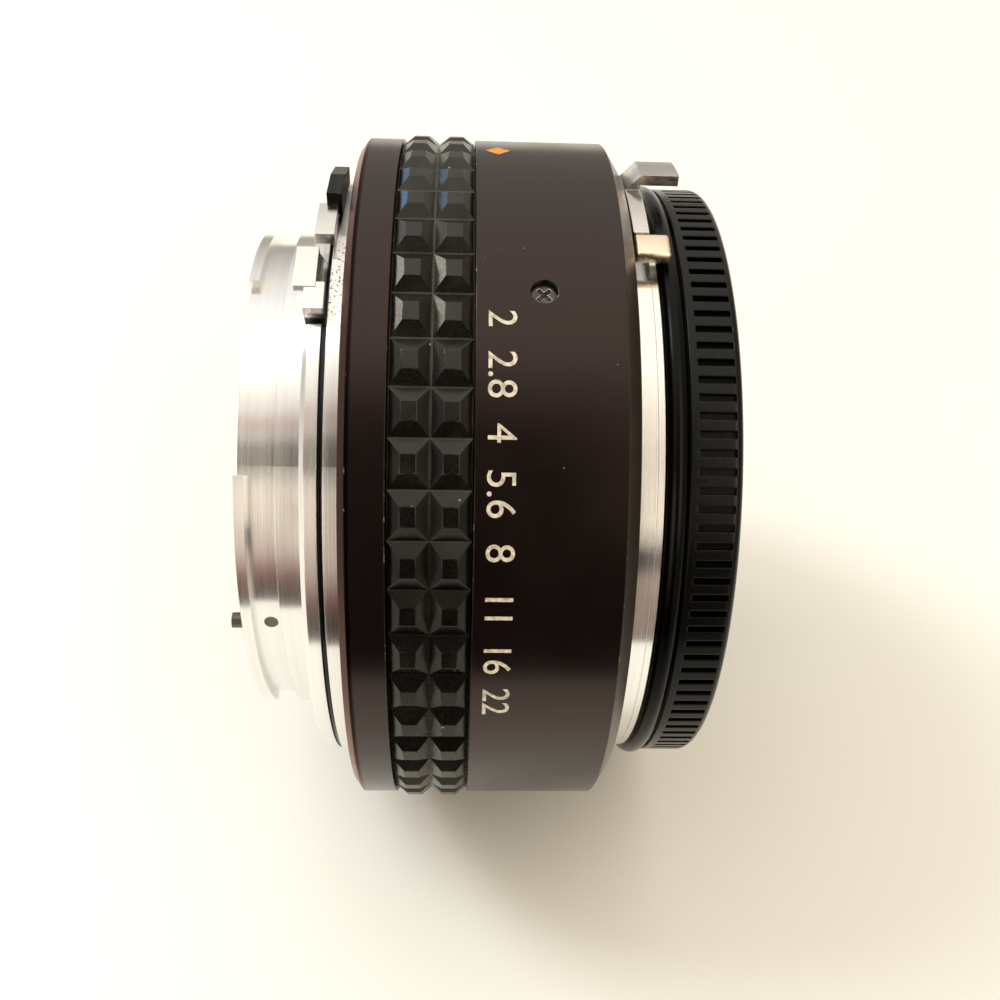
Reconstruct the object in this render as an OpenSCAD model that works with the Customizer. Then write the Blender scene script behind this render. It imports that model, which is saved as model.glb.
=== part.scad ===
// Camera teleconverter, lying on its side with its front cap fitted.
// It is a tube of rings on one optical axis, so every piece is drawn along a local z axis that runs
// from the camera flange (z = 0) towards the lens, and lay() turns that axis to +X.
// Angles run round the axis from the side that faces the viewer and are positive towards the top.

/* [Resting pose] */
// Turn about the optical axis that brings the lugs to the upper front
roll_angle = 41; // [0:1:60]

/* [Camera bayonet] */
// Diameter of the pilot that centres the bayonet in the camera
pilot_d = 47; // [46:0.1:48.4]
// Length of the pilot behind the flange
pilot_len = 2.57; // [2.2:0.01:3]
// Radial step from the pilot down to the neck
neck_step = 0.9; // [0.7:0.05:1.2]
// Length of the neck
neck_len = 2.03; // [1.6:0.01:2.6]
// Undercut between the neck and the tabs
tab_undercut = 0.4; // [0.2:0.05:0.8]
// Thickness of a bayonet tab along the axis
tab_len = 0.9; // [0.7:0.05:1.2]
// Height of a bayonet tab above the neck
tab_rise = 0.8; // [0.5:0.05:0.9]
// Arc of one bayonet tab
tab_arc = 75; // [60:1:80]
// Angle at which the upper tab starts
tab_start = 43; // [30:1:60]
// Wall of the bayonet tube at the neck
bayonet_wall = 1.8; // [1.2:0.05:2.2]
// Thickness of the camera flange plate
camera_plate_t = 1.4; // [1:0.05:2]
// Width of the screw land between the pilot and the boss behind the plate
screw_land = 2.8; // [2.7:0.05:3.6]
// Radial step from the rear flange ring down to the flange plate
plate_step = 0.4; // [0.2:0.05:0.8]

/* [Rear rings] */
// Slot between the flange plate and the rear flange ring, where the lug plate turns
lug_slot = 0.5; // [0.45:0.01:0.8]
// Thickness of the turning lug plate
lug_plate_t = 0.24; // [0.15:0.01:0.3]
// Wall of the turning rear sleeve
sleeve_wall = 0.85; // [0.7:0.05:1.2]
// Wall of the fixed rear flange ring
rear_ring_wall = 1.1; // [0.9:0.05:1.5]
// Visible length of the rear flange ring
rear_ring_len = 1.4; // [1:0.05:2]
// Depth of the ring's seat in the collar
ring_seat = 0.6; // [0.4:0.05:1]

/* [Body] */
// Radial step from the rear flange ring out to the barrel
barrel_step = 3.6; // [3.2:0.1:5]
// Wall of the barrel
barrel_wall = 2; // [1.6:0.1:2.2]
// Length of the rear collar
collar_len = 3.6; // [3.2:0.1:5]
// Radial size of the collar's rear chamfer
collar_chamfer = 0.8; // [0.4:0.1:1.2]
// Length of the collar's rear chamfer
collar_chamfer_len = 0.6; // [0.3:0.1:1]
// Thickness of the collar's inner web
collar_web = 2; // [1.4:0.1:2.4]
// Length of the collar's spigot inside the barrel
spigot_len = 2.5; // [1.5:0.1:4]
// Wall of the collar's spigot
spigot_wall = 1.2; // [0.9:0.05:1.5]
// Length of the barrel in front of the grip
barrel_len = 12.65; // [12:0.05:16]
// Radial size of the barrel's front chamfer
front_chamfer = 1.7; // [1:0.1:1.9]
// Length of the barrel's front chamfer
front_chamfer_len = 1.15; // [0.6:0.05:1.8]
// Thickness of the barrel's front web
front_web_t = 1.05; // [0.8:0.05:1.4]

/* [Grip] */
// Length of the rubber grip
grip_len = 6.36; // [5:0.02:9]
// Groove at each end of the grip
grip_gap = 0.1; // [0.05:0.05:0.3]
// Depth of the seat turned into the barrel for the grip
grip_seat = 1; // [0.7:0.05:1.2]
// Height of the pyramid tops above the barrel
grip_stand = 0.35; // [0.2:0.05:0.6]
// Depth of the grooves between the pyramids
grip_groove = 0.95; // [0.5:0.05:1]
// Pyramids in one row
grip_teeth = 52; // [40:1:60]
// Rows of pyramids
grip_rows = 2; // [1:1:4]

/* [Lens mount] */
// Radial clearance between a bayonet and its socket
mount_clear = 0.1; // [0.05:0.05:0.2]
// Wall of the lens socket outside the pilot bore
socket_wall = 1.95; // [1.9:0.05:2.6]
// Thickness of the lens flange plate
lens_plate_t = 0.55; // [0.4:0.05:0.9]
// Arc of one tab in the lens socket
lens_tab_arc = 38; // [30:1:42]
// Length of the front flange ring
front_ring_len = 1.75; // [1.6:0.05:2.4]
// Wall of the front flange ring
front_ring_wall = 2; // [1.9:0.05:2.6]
// Depth of the shadow groove under the front flange ring
shadow_groove = 0.35; // [0.2:0.05:0.5]
// Width of the shadow groove
shadow_groove_len = 0.25; // [0.15:0.05:0.4]
// Thickness of the leaf springs behind the socket tabs
leaf_t = 0.25; // [0.15:0.05:0.3]

/* [Aperture coupling] */
// Turn of the coupling rings from the rest stop
coupling_travel = 55; // [30:1:58]
// Arc of one coupling bar
bar_arc = 8; // [6:1:10]
// Radial thickness of a coupling bar
bar_t = 1.4; // [1.2:0.05:1.6]
// Thickness of the rear sleeve's inner flange
sleeve_flange_t = 1.2; // [1:0.05:1.6]
// Thickness of the front coupling ring
front_coupling_t = 1.5; // [1.2:0.05:1.8]
// Radial thickness of the front coupling ring
front_coupling_wall = 1.45; // [1.3:0.05:1.5]
// Sheet thickness of the front lug
lug_sheet = 0.9; // [0.7:0.05:1]
// Angle of the front lug's tab
tab_lug_angle = 59; // [57:0.5:62]
// Arc of the front lug's tab
tab_lug_arc = 8; // [6:0.5:10]
// Reach of the front lug's tab in front of the lens flange
tab_lug_reach = 2.6; // [1.5:0.1:3.2]
// Rise of the front lug's tab above its arm
tab_lug_rise = 0.7; // [0.4:0.05:0.9]
// Arc of the front lug's stem
stem_arc = 13; // [9:0.5:15]
// Angle of the brass follower
follower_angle = 38.5; // [36:0.05:39]
// Arc of the brass follower
follower_arc = 5.2; // [4:0.1:6.5]
// Length of the brass follower along the axis
follower_len = 2.9; // [2:0.05:3.2]
// Radial thickness of the brass follower
follower_t = 1.1; // [1:0.05:1.5]
// Angle of the rear steel lug
rear_lug_angle = 32.6; // [31:0.1:34]
// Arc of the rear steel lug
rear_lug_arc = 8.2; // [6:0.1:9]
// Width of the rear steel lug along the axis
rear_lug_w = 1.79; // [1.2:0.05:2.2]
// Sheet thickness of the rear steel lug
rear_lug_t = 0.6; // [0.4:0.05:0.8]
// Arc of the rear steel lug's foot
rear_foot_arc = 5; // [3:0.1:6]
// Angle of the rear black lug
black_lug_angle = 54.5; // [52:0.5:56]
// Arc of the rear black lug
black_lug_arc = 14; // [12:0.5:18]
// Radial height of the rear black lug
black_lug_h = 1.9; // [1.4:0.05:2.4]
// Width of the rear black lug along the axis
black_lug_w = 1.25; // [1:0.05:1.4]
// Gap between the rear black lug and the collar
black_lug_gap = 0.95; // [0.6:0.05:1.1]
// Arc of the steel heel beside the rear black lug
heel_arc = 8.5; // [6:0.5:10]
// Width of that heel along the axis
heel_w = 1.6; // [1:0.05:2]

/* [Stop-down linkage] */
// Turn of the stop-down ring
stop_travel = 15; // [8:1:20]
// Radial thickness of the stop-down ring
stop_ring_wall = 2; // [1.7:0.05:2.2]
// Length of the stop-down ring
stop_ring_len = 2.5; // [1.8:0.1:3.2]
// Diameter of the stop-down pin
stop_pin_d = 1.4; // [1:0.05:1.5]
// Angle of the stop-down pin
stop_pin_angle = -44.5; // [-60:0.5:-30]
// Reach of the stop-down pin past the bayonet tabs
stop_pin_reach = 1.8; // [0.5:0.1:2.5]
// Angle of the stop-down lever
lever_angle = -70; // [-90:1:-66]
// Arc of the stop-down lever
lever_arc = 6; // [4:0.5:8]
// Thickness of the stop-down lever
lever_t = 1.2; // [0.9:0.05:1.3]

/* [Lens lock] */
// Angle of the lock pin and its release knob
lock_angle = 185; // [180:1:195]
// Diameter of the lock pin
lock_pin_d = 1.4; // [1.2:0.05:1.5]
// Reach of the lock pin in front of the lens flange
lock_reach = 0.9; // [0.6:0.05:1]
// Travel of the release knob
lock_travel = 1.2; // [1.1:0.05:1.3]
// Width of the release knob's neck
knob_neck_w = 3; // [2.4:0.1:3.4]
// Length of the release knob's neck along the axis
knob_neck_len = 2.2; // [1.8:0.05:2.3]
// Width of the release knob's pad
knob_pad_w = 7; // [5:0.1:9]
// Height of the release knob's pad
knob_pad_t = 1.1; // [0.8:0.05:1.6]
// Diameter of the lock spring
lock_spring_d = 1.9; // [1.5:0.05:2]
// Depth of the lock spring's pocket
lock_pocket = 2; // [1.4:0.1:2.2]

/* [Optics] */
// Wall of the lens cell round the lens elements
cell_wall = 3.55; // [1.5:0.05:5]
// Clear gap between the lens cell and the stop-down ring
cell_clear = 0.65; // [0.3:0.05:1.5]
// Thickness of a retaining ring or spacer in the radial direction
ring_wall = 1.2; // [0.8:0.05:2]
// Length of each retaining ring
retainer_len = 1.2; // [0.8:0.05:1.6]
// Edge thickness of the rear element
rear_edge = 2; // [1.6:0.05:2.4]
// Edge thickness of the third element
third_edge = 3; // [2.6:0.05:3.4]
// Edge thickness of the second element
second_edge = 1.2; // [1:0.05:1.6]
// Edge thickness of the front element
front_edge = 1.4; // [1.2:0.05:1.8]
// Length of the rear spacer
rear_spacer = 2.2; // [1.8:0.05:2.6]
// Length of the middle spacer
middle_spacer = 0.6; // [0.4:0.05:0.9]
// Length of the front spacer
front_spacer = 2.4; // [2:0.05:2.8]
// Length of the rear baffle
baffle_len = 2; // [1.2:0.1:2.4]
// Radial step from the clear glass in to the rear baffle's opening
baffle_lip = 1.8; // [0.8:0.05:4]

/* [Fasteners] */
// Camera flange screws
mount_screws = 4; // [3:1:6]
// Head diameter of a camera flange screw
mount_head_d = 2.3; // [1.9:0.05:2.4]
// Lens flange screws
lens_screws = 4; // [3:1:6]
// Head diameter of a lens flange screw
lens_head_d = 1.8; // [1.5:0.05:1.9]
// Shank diameter of every screw
shank_d = 1.2; // [1:0.05:1.3]
// Thread depth of the flange screws
thread_len = 3; // [2:0.1:3.6]
// Barrel screws
barrel_screws_n = 3; // [2:1:3]
// Angle of the barrel screw in view
barrel_screw_angle = 25; // [20:1:30]
// Distance from the barrel's front face back to its screws
barrel_screw_setback = 7.45; // [7:0.05:8]
// Head diameter of a barrel screw
barrel_head_d = 2; // [1.6:0.05:2.4]

/* [Front cap] */
// Radial step from the front flange ring out to the cap's rounded bead
bead_step = 0.7; // [0.2:0.05:1.2]
// Length of the cap's bead
bead_len = 1.85; // [1.4:0.05:2.4]
// Radial step from the bead down to the cap's slotted rim
rim_step = 0.3; // [0.1:0.05:0.8]
// Length of the cap's rim
rim_len = 4.25; // [3.6:0.05:6]
// Radius of the rim's front edge
rim_round = 0.75; // [0.4:0.05:1]
// Slots round the rim
rim_slots = 120; // [60:1:140]
// Width of a rim slot
rim_slot_w = 0.6; // [0.3:0.05:0.7]
// Depth of a rim slot
rim_slot_depth = 0.35; // [0.2:0.05:0.5]
// Land at each end of the rim slots
rim_land = 0.65; // [0.4:0.05:0.9]
// Thickness of the cap's front plate
cap_plate_t = 1.4; // [1:0.05:2]
// Wall of the cap's plug
plug_wall = 0.9; // [0.7:0.05:1]
// Arc of one tab on the cap's plug
cap_tab_arc = 50; // [30:1:60]

/* [Hidden] */
$fn = 96;
// Running clearance of turning fits, and seat clearance of fixed ones
fit = 0.05;
// Clear gap between pieces that pass each other
pass_gap = 0.3;
// Overrun of a cut past the face that it opens
over = 0.1;

// Radii, from the bayonet outwards
pilot_r = pilot_d / 2;
neck_r = pilot_r - neck_step;
tab_r = neck_r + tab_rise;
throat_r = neck_r - bayonet_wall;
boss_r = pilot_r + screw_land;
sleeve_in = boss_r + fit;
sleeve_out = sleeve_in + sleeve_wall;
rear_ring_in = sleeve_out + 2 * fit;
rear_ring_r = rear_ring_in + rear_ring_wall;
plate_r = rear_ring_r - plate_step;
barrel_r = rear_ring_r + barrel_step;
bore_r = barrel_r - barrel_wall;
seat_r = barrel_r - grip_seat;
grip_top_r = barrel_r + grip_stand;
grip_valley_r = grip_top_r - grip_groove;

// Stations along the axis, from the camera flange to the lens flange
rear_ring_z = camera_plate_t + lug_slot;
collar_z = rear_ring_z + rear_ring_len;
barrel_z = collar_z + collar_len;
grip_z = barrel_z + grip_gap;
shoulder_z = grip_z + grip_len + grip_gap;
face_z = shoulder_z + barrel_len;
front_plate_z = face_z + front_ring_len;
lens_flange_z = front_plate_z + lens_plate_t;
web_z = face_z - front_web_t;
tab_end_z = -pilot_len - neck_len - tab_undercut - tab_len;
// The bayonet tube stops a little short of its tabs' rear faces
tube_end_z = tab_end_z + tab_undercut / 2;

// Camera flange seat
register_t = (lug_slot - lug_plate_t) / 2;
boss_z = camera_plate_t + register_t / 2;
lug_plate_z = camera_plate_t + register_t;
lug_plate_end = lug_plate_z + lug_plate_t;
lug_plate_out = plate_r - fit;
mount_screw_r = pilot_r + screw_land / 2;
mount_screw_turn = 360 / mount_screws;
mount_screw_start = -10;
stop_screw_angle = -36.3;
stop_screw_z = -pilot_len - neck_len / 2;

// Lens socket
socket_r = pilot_r + mount_clear;
socket_out = socket_r + socket_wall;
socket_cavity_r = socket_r + mount_clear;
lens_tab_r = neck_r + mount_clear;
front_ring_in = socket_out + fit;
front_ring_r = front_ring_in + front_ring_wall;
socket_tab_end = lens_flange_z - pilot_len;
socket_tab_z = socket_tab_end - neck_len + mount_clear;
socket_z = socket_tab_z - tab_undercut - tab_len - 2 * leaf_t;
lens_tab_start = tab_start + tab_arc;
lens_screw_r = socket_r + socket_wall / 2;
lens_screw_turn = 360 / lens_screws;
lens_screw_start = 20;

// Chassis, whose web carries the barrel screws
chassis_bore_step = 0.5;
chassis_tube_step = 2.3;
chassis_web_t = 2.8;
chassis_bore = throat_r + chassis_bore_step;
chassis_tube_r = boss_r - chassis_tube_step;
chassis_web_r = bore_r - fit;
barrel_screw_z = face_z - barrel_screw_setback;
chassis_web_z = barrel_screw_z - chassis_web_t / 2;
chassis_web_end = barrel_screw_z + chassis_web_t / 2;
boss_end = barrel_z - 3 * pass_gap;

// Aperture coupling
sleeve_flange_z = boss_end + pass_gap;
sleeve_end = sleeve_flange_z + sleeve_flange_t;
front_coupling_z = chassis_web_end + pass_gap;
front_coupling_end = front_coupling_z + front_coupling_t;
coupling_in = socket_out + fit;
coupling_out = coupling_in + front_coupling_wall;
bar_in = coupling_out - bar_t;
sleeve_flange_in = bar_in - pass_gap;
bar_angles = [54, 174];
bar_screw_r = bar_in + bar_t / 2;
bar_screw_d = 0.8;
bar_screw_len = 3;
stop_margin = 1;
stem_end = tab_lug_angle + tab_lug_arc / 2;
stem_start = stem_end - stem_arc;
stem_out = coupling_out + lug_sheet;
lug_arm_z = face_z + pass_gap;
lug_arm_end = front_plate_z - pass_gap / 2;
bead_r = front_ring_r + bead_step;
lug_arm_in = bead_r + 2 * pass_gap;
lug_arm_out = lug_arm_in + lug_sheet;
tab_lug_in = lug_arm_out - pass_gap + tab_lug_rise;
tab_lug_out = tab_lug_in + lug_sheet;
tab_lug_end = lens_flange_z + tab_lug_reach;
follower_start = follower_angle - follower_arc / 2;
follower_end = follower_angle + follower_arc / 2;
follower_in = bead_r + pass_gap + fit;
window_start = follower_start - 1.5 * stop_margin;
window_end = stem_end + coupling_travel + stop_margin;

// Rear lugs
rear_lug_start = rear_lug_angle - rear_lug_arc / 2;
rear_lug_end = rear_lug_angle + rear_lug_arc / 2;
rear_foot_start = rear_lug_start - rear_foot_arc + stop_margin;
rear_lug_in = plate_r + 3 * pass_gap;
rear_lug_out = rear_lug_in + rear_lug_t;
rear_lug_overhang = 0.84;
rear_lug_z = -rear_lug_overhang;
rear_foot_in = boss_r + 2 * pass_gap;
rear_window_in = boss_r + pass_gap;
rear_window_start = rear_foot_start - stop_margin;
rear_window_end = rear_lug_end + coupling_travel + stop_margin;
black_lug_in = rear_ring_r + pass_gap + fit;
black_lug_out = black_lug_in + black_lug_h;
black_lug_end = collar_z - black_lug_gap;
black_lug_start = black_lug_angle - black_lug_arc / 2;
black_ear_out = black_lug_in + black_lug_h / 2;
black_ear_start = black_lug_start - heel_arc + stop_margin;
black_ear_end = black_lug_angle + black_lug_arc / 3;
heel_end = lug_plate_end + pass_gap;

// Stop-down ring, in the chassis bore round the lens cell
stop_ring_out = chassis_bore - fit;
stop_ring_in = stop_ring_out - stop_ring_wall;

// Optics, stacked from the rear retaining ring to the front one
cell_r = stop_ring_in - cell_clear;
cell_bore = cell_r - cell_wall;
element_r = cell_bore - fit;
clear_r = element_r - ring_wall;
baffle_r = clear_r - baffle_lip;
baffle_z = 2.4;
cell_z = baffle_z + baffle_len;
rear_retainer_z = cell_z + pass_gap;
rear_element_z = rear_retainer_z + retainer_len;
rear_spacer_z = rear_element_z + rear_edge;
third_element_z = rear_spacer_z + rear_spacer;
middle_spacer_z = third_element_z + third_edge;
second_element_z = middle_spacer_z + middle_spacer;
front_spacer_z = second_element_z + second_edge;
front_element_z = front_spacer_z + front_spacer;
front_retainer_z = front_element_z + front_edge;
cell_end = front_retainer_z + retainer_len;
cell_flange_t = 1.6;
cell_flange_z = chassis_web_z - cell_flange_t - shank_d;
cell_flange_r = chassis_bore - fit;
set_screw_angles = [80, 200, 320];
// Surface radii of the glass, rear face then front face of each element
rear_glass = [60, 140];
third_glass = [-140, -140];
second_glass = [140, 90];
front_glass = [-160, 90];

// Arcs that the return springs lie in
coupling_spring_arc = [74, 204];
stop_spring_arc = [60, 190];

// Stop-down linkage
stop_ring_setback = 1.1;
stop_ring_z = barrel_z + stop_ring_setback;
stop_ring_end = stop_ring_z + stop_ring_len;
stop_pin_r = throat_r - stop_pin_d / 2 - 1.3 * pass_gap;
lever_in = stop_ring_in + pass_gap;
lever_reach = 2.4;
lever_end = socket_z + lever_reach;
lever_start = lever_angle - lever_arc / 2;
lever_slot_end = lever_angle + lever_arc / 2 + stop_travel + 2 * stop_margin;

// Lens lock
lock_r = (front_ring_in + front_ring_r) / 2;
lock_hole_r = lock_pin_d / 2 + fit;
lock_foot_t = 0.8;
lock_foot_end = web_z - pass_gap;
lock_foot_z = lock_foot_end - lock_foot_t;
lock_foot_in = lock_r - lock_pin_d / 2;
lock_block_in = coupling_out + 2 * pass_gap;
lock_block_out = bore_r - fit;
lock_block_z = chassis_web_end + lock_travel + 1.3 * pass_gap;
lock_spring_r = (lock_block_in + lock_block_out) / 2;
lock_spring_z = chassis_web_end - lock_pocket;
knob_neck_z = lock_block_z;
knob_slot_z = knob_neck_z - lock_travel - pass_gap;
knob_slot_end = knob_neck_z + knob_neck_len + pass_gap;
knob_pad_z = knob_neck_z - pass_gap;
knob_pad_end = face_z - front_chamfer_len - lock_travel / 2;
knob_pad_in = barrel_r + pass_gap / 2;

// Front cap
cap_z = lens_flange_z + fit;
bead_end = cap_z + bead_len;
rim_z = bead_end + fit;
rim_end = rim_z + rim_len;
rim_r = bead_r - rim_step;
plug_r = lens_tab_r - 2 * mount_clear;
plug_in = plug_r - plug_wall;
plug_z = socket_tab_z - tab_len - 2 * leaf_t - mount_clear;
cap_inside_end = rim_end - cap_plate_t;
cap_groove_r = rim_r - rim_slot_depth;
cap_tab_r = socket_r - mount_clear;
// The cap's tabs stand in the middle of the gaps between the socket tabs
cap_tab_start = lens_tab_start + lens_tab_arc + (120 - lens_tab_arc - cap_tab_arc) / 2;

// Turns the drawing axis to +X and rolls the object to its resting pose.
module lay() {
    rotate([-90 - roll_angle, 0, 0])
        rotate([0, 90, 0])
            children();
}

// Turns a piece to an angle round the optical axis.
module around(angle) {
    rotate([0, 0, -angle])
        children();
}

// Ring from radius r_in to r_out between two stations.
module ring(r_in, r_out, z0, z1) {
    rotate_extrude()
        translate([r_in, z0])
            square([r_out - r_in, z1 - z0]);
}

// Part of a ring between two angles.
module sector(r_in, r_out, a0, a1, z0, z1) {
    around(a1)
        rotate_extrude(angle = a1 - a0)
            translate([r_in, z0])
                square([r_out - r_in, z1 - z0]);
}

// Round bar along the axis at radius r.
module axial_bar(r, angle, bar_r, z0, z1) {
    around(angle)
        translate([r, 0, z0])
            cylinder(r = bar_r, h = z1 - z0);
}

// Round bar that points outwards at station z.
module radial_bar(angle, z, bar_r, r0, r1) {
    around(angle)
        translate([r0, 0, z])
            rotate([0, 90, 0])
                cylinder(r = bar_r, h = r1 - r0);
}

// Three copies, one for each bayonet tab.
module three() {
    for (turn = [0, 120, 240])
        around(turn)
            children();
}

// Screw along the axis with a conical head whose top is at z; dir points from the head into the thread.
module flange_screw(r, angle, head_d, z, dir) {
    head_h = (head_d - shank_d) / 2;
    around(angle)
        translate([r, 0, z])
            mirror([0, 0, dir > 0 ? 0 : 1]) {
                difference() {
                    cylinder(d1 = head_d, d2 = shank_d, h = head_h);
                    slot_recess(head_d);
                }
                translate([0, 0, head_h])
                    cylinder(d = shank_d, h = thread_len - head_h);
            }
}

// Straight screwdriver slot across a screw head.
module slot_recess(head_d) {
    slot_w = head_d / 6;
    slot_depth = head_d / 10;
    translate([-head_d, -slot_w / 2, -slot_depth])
        cube([2 * head_d, slot_w, 2 * slot_depth]);
}

// Hole that takes a flange screw.
module flange_screw_hole(r, angle, head_d, z, dir) {
    head_h = (head_d - shank_d) / 2;
    around(angle)
        translate([r, 0, z])
            mirror([0, 0, dir > 0 ? 0 : 1]) {
                translate([0, 0, -over])
                    cylinder(d = head_d, h = over);
                cylinder(d1 = head_d, d2 = shank_d, h = head_h);
                cylinder(d = shank_d, h = thread_len);
            }
}

// Height of a spherical face over its flat edge land; a negative radius makes it hollow.
function sag(r, radius) =
    sign(radius) * (sqrt(radius * radius - r * r) - sqrt(radius * radius - clear_r * clear_r));

// Lens element turned from its two spherical faces, with its edge land between z0 and z1.
module element(z0, z1, radii) {
    steps = 12;
    reach = [for (i = [0 : steps]) clear_r * i / steps];
    rear_face = [for (r = reach) [r, z0 - sag(r, radii[0])]];
    front_face = [for (i = [steps : -1 : 0]) [reach[i], z1 + sag(reach[i], radii[1])]];
    rotate_extrude()
        polygon(concat(rear_face, [[element_r, z0], [element_r, z1]], front_face));
}

// Plated flange with the male bayonet; the rim is cut away where the rear lug swings.
module camera_mount() {
    edge = plate_step;
    color("silver") lay() difference() {
        union() {
            rotate_extrude()
                polygon([
                    [throat_r, tube_end_z], [neck_r, tube_end_z], [neck_r, -pilot_len],
                    [pilot_r, -pilot_len], [pilot_r, 0], [plate_r - edge, 0], [plate_r, edge],
                    [plate_r, camera_plate_t], [boss_r, camera_plate_t], [boss_r, boss_z],
                    [throat_r, boss_z]
                ]);
            three()
                sector(throat_r + bayonet_wall / 2, tab_r, tab_start, tab_start + tab_arc,
                    tab_end_z, tab_end_z + tab_len);
        }
        sector(rear_window_in, plate_r + over, rear_window_start, rear_window_end,
            -over, camera_plate_t + over);
        for (i = [0 : mount_screws - 1])
            flange_screw_hole(mount_screw_r, mount_screw_start + i * mount_screw_turn,
                mount_head_d, 0, 1);
        radial_bar(stop_screw_angle, stop_screw_z, shank_d / 2, throat_r - over, neck_r + over);
    }
}

// Countersunk screws that hold the camera mount to the chassis.
module camera_mount_screws() {
    color("gainsboro") lay()
        for (i = [0 : mount_screws - 1])
            flange_screw(mount_screw_r, mount_screw_start + i * mount_screw_turn, mount_head_d, 0, 1);
}

// Headless screw in the bayonet neck.
module bayonet_stop_screw() {
    color("dimgray") lay()
        radial_bar(stop_screw_angle, stop_screw_z, shank_d / 2, throat_r, neck_r);
}

// Fixed plated ring that covers the turning sleeve and seats in the collar.
module rear_flange_ring() {
    color("silver") lay()
        ring(rear_ring_in, rear_ring_r, rear_ring_z, collar_z + ring_seat);
}

// Black collar that closes the rear of the barrel; its spigot screws into the barrel's bore.
module rear_collar() {
    spigot_out = bore_r - fit;
    spigot_in = spigot_out - spigot_wall;
    web_end = collar_z + ring_seat + collar_web;
    color([0.10, 0.09, 0.09]) lay()
        rotate_extrude()
            polygon([
                [rear_ring_r, collar_z], [barrel_r - collar_chamfer, collar_z],
                [barrel_r, collar_z + collar_chamfer_len], [barrel_r, barrel_z],
                [spigot_out, barrel_z], [spigot_out, barrel_z + spigot_len],
                [spigot_in, barrel_z + spigot_len], [spigot_in, web_end], [rear_ring_in, web_end],
                [rear_ring_in, collar_z + ring_seat], [rear_ring_r, collar_z + ring_seat]
            ]);
}

// Rubber sleeve with rows of blunt pyramids: a grooved profile crossed with a toothed outline.
module rubber_grip() {
    row_len = grip_len / grip_rows;
    tooth_turn = 360 / grip_teeth;
    // One tooth stands flat on the table
    first_valley = 90 + roll_angle - tooth_turn / 2;
    // The grooves between the rows are a little shallower than those between the teeth
    row_valley_r = grip_valley_r + over / 2;
    row_top_r = grip_top_r + over;
    profile = [
        for (row = [0 : grip_rows - 1], step = [0 : 2])
            [step == 0 ? row_valley_r : row_top_r, grip_z + (row + step / 3) * row_len]
    ];
    outline = [
        for (tooth = [0 : grip_teeth - 1], step = [0 : 2])
            (step == 0 ? grip_valley_r : grip_top_r)
                * [cos(first_valley + (tooth + step / 3) * tooth_turn),
                   sin(first_valley + (tooth + step / 3) * tooth_turn)]
    ];
    grip_end = grip_z + grip_len;
    color([0.13, 0.13, 0.12]) lay() difference() {
        intersection() {
            rotate_extrude()
                polygon(concat([[seat_r - over, grip_z]], profile,
                    [[row_valley_r, grip_end], [seat_r - over, grip_end]]));
            translate([0, 0, grip_z])
                linear_extrude(grip_len)
                    polygon(outline);
        }
        ring(0, seat_r, grip_z - over, grip_end + over);
    }
}

// Anodised barrel with the grip seat, the front web and the slots for the lug, lock and knob.
module main_barrel() {
    color([0.12, 0.10, 0.10]) lay() difference() {
        rotate_extrude()
            polygon([
                [bore_r, barrel_z], [seat_r, barrel_z], [seat_r, shoulder_z], [barrel_r, shoulder_z],
                [barrel_r, face_z - front_chamfer_len], [barrel_r - front_chamfer, face_z],
                [front_ring_in, face_z], [front_ring_in, web_z], [bore_r, web_z]
            ]);
        for (i = [0 : barrel_screws_n - 1]) {
            angle = barrel_screw_angle + i * 360 / barrel_screws_n;
            radial_bar(angle, barrel_screw_z, shank_d / 2 + fit, bore_r - over, barrel_r + over);
            radial_bar(angle, barrel_screw_z, barrel_head_d / 2 + fit,
                barrel_r - barrel_wall / 2, barrel_r + over);
        }
        sector(coupling_out - pass_gap, stem_out + pass_gap, stem_start - stop_margin, window_end,
            web_z - over, face_z + over);
        axial_bar(lock_r, lock_angle, lock_hole_r, web_z - over, face_z + over);
        around(lock_angle)
            translate([bore_r - barrel_wall, -knob_neck_w / 2 - fit, knob_slot_z])
                cube([2 * barrel_wall + over, knob_neck_w + 2 * fit, knob_slot_end - knob_slot_z]);
    }
}

// Cross-head screws sunk in the barrel; they hold it to the chassis web.
module barrel_screws() {
    head_z = barrel_r - barrel_wall / 2;
    head_h = barrel_wall / 4;
    cross_w = barrel_head_d / 7;
    color([0.16, 0.15, 0.15]) lay()
        for (i = [0 : barrel_screws_n - 1]) {
            angle = barrel_screw_angle + i * 360 / barrel_screws_n;
            difference() {
                union() {
                    radial_bar(angle, barrel_screw_z, shank_d / 2, coupling_out + pass_gap, head_z + fit);
                    radial_bar(angle, barrel_screw_z, barrel_head_d / 2, head_z, head_z + head_h);
                }
                around(angle)
                    for (turn = [45, -45])
                        translate([head_z + head_h, 0, barrel_screw_z])
                            rotate([turn, 0, 0])
                                cube([head_h, cross_w, barrel_head_d * 2 / 3], center = true);
            }
        }
}

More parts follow.
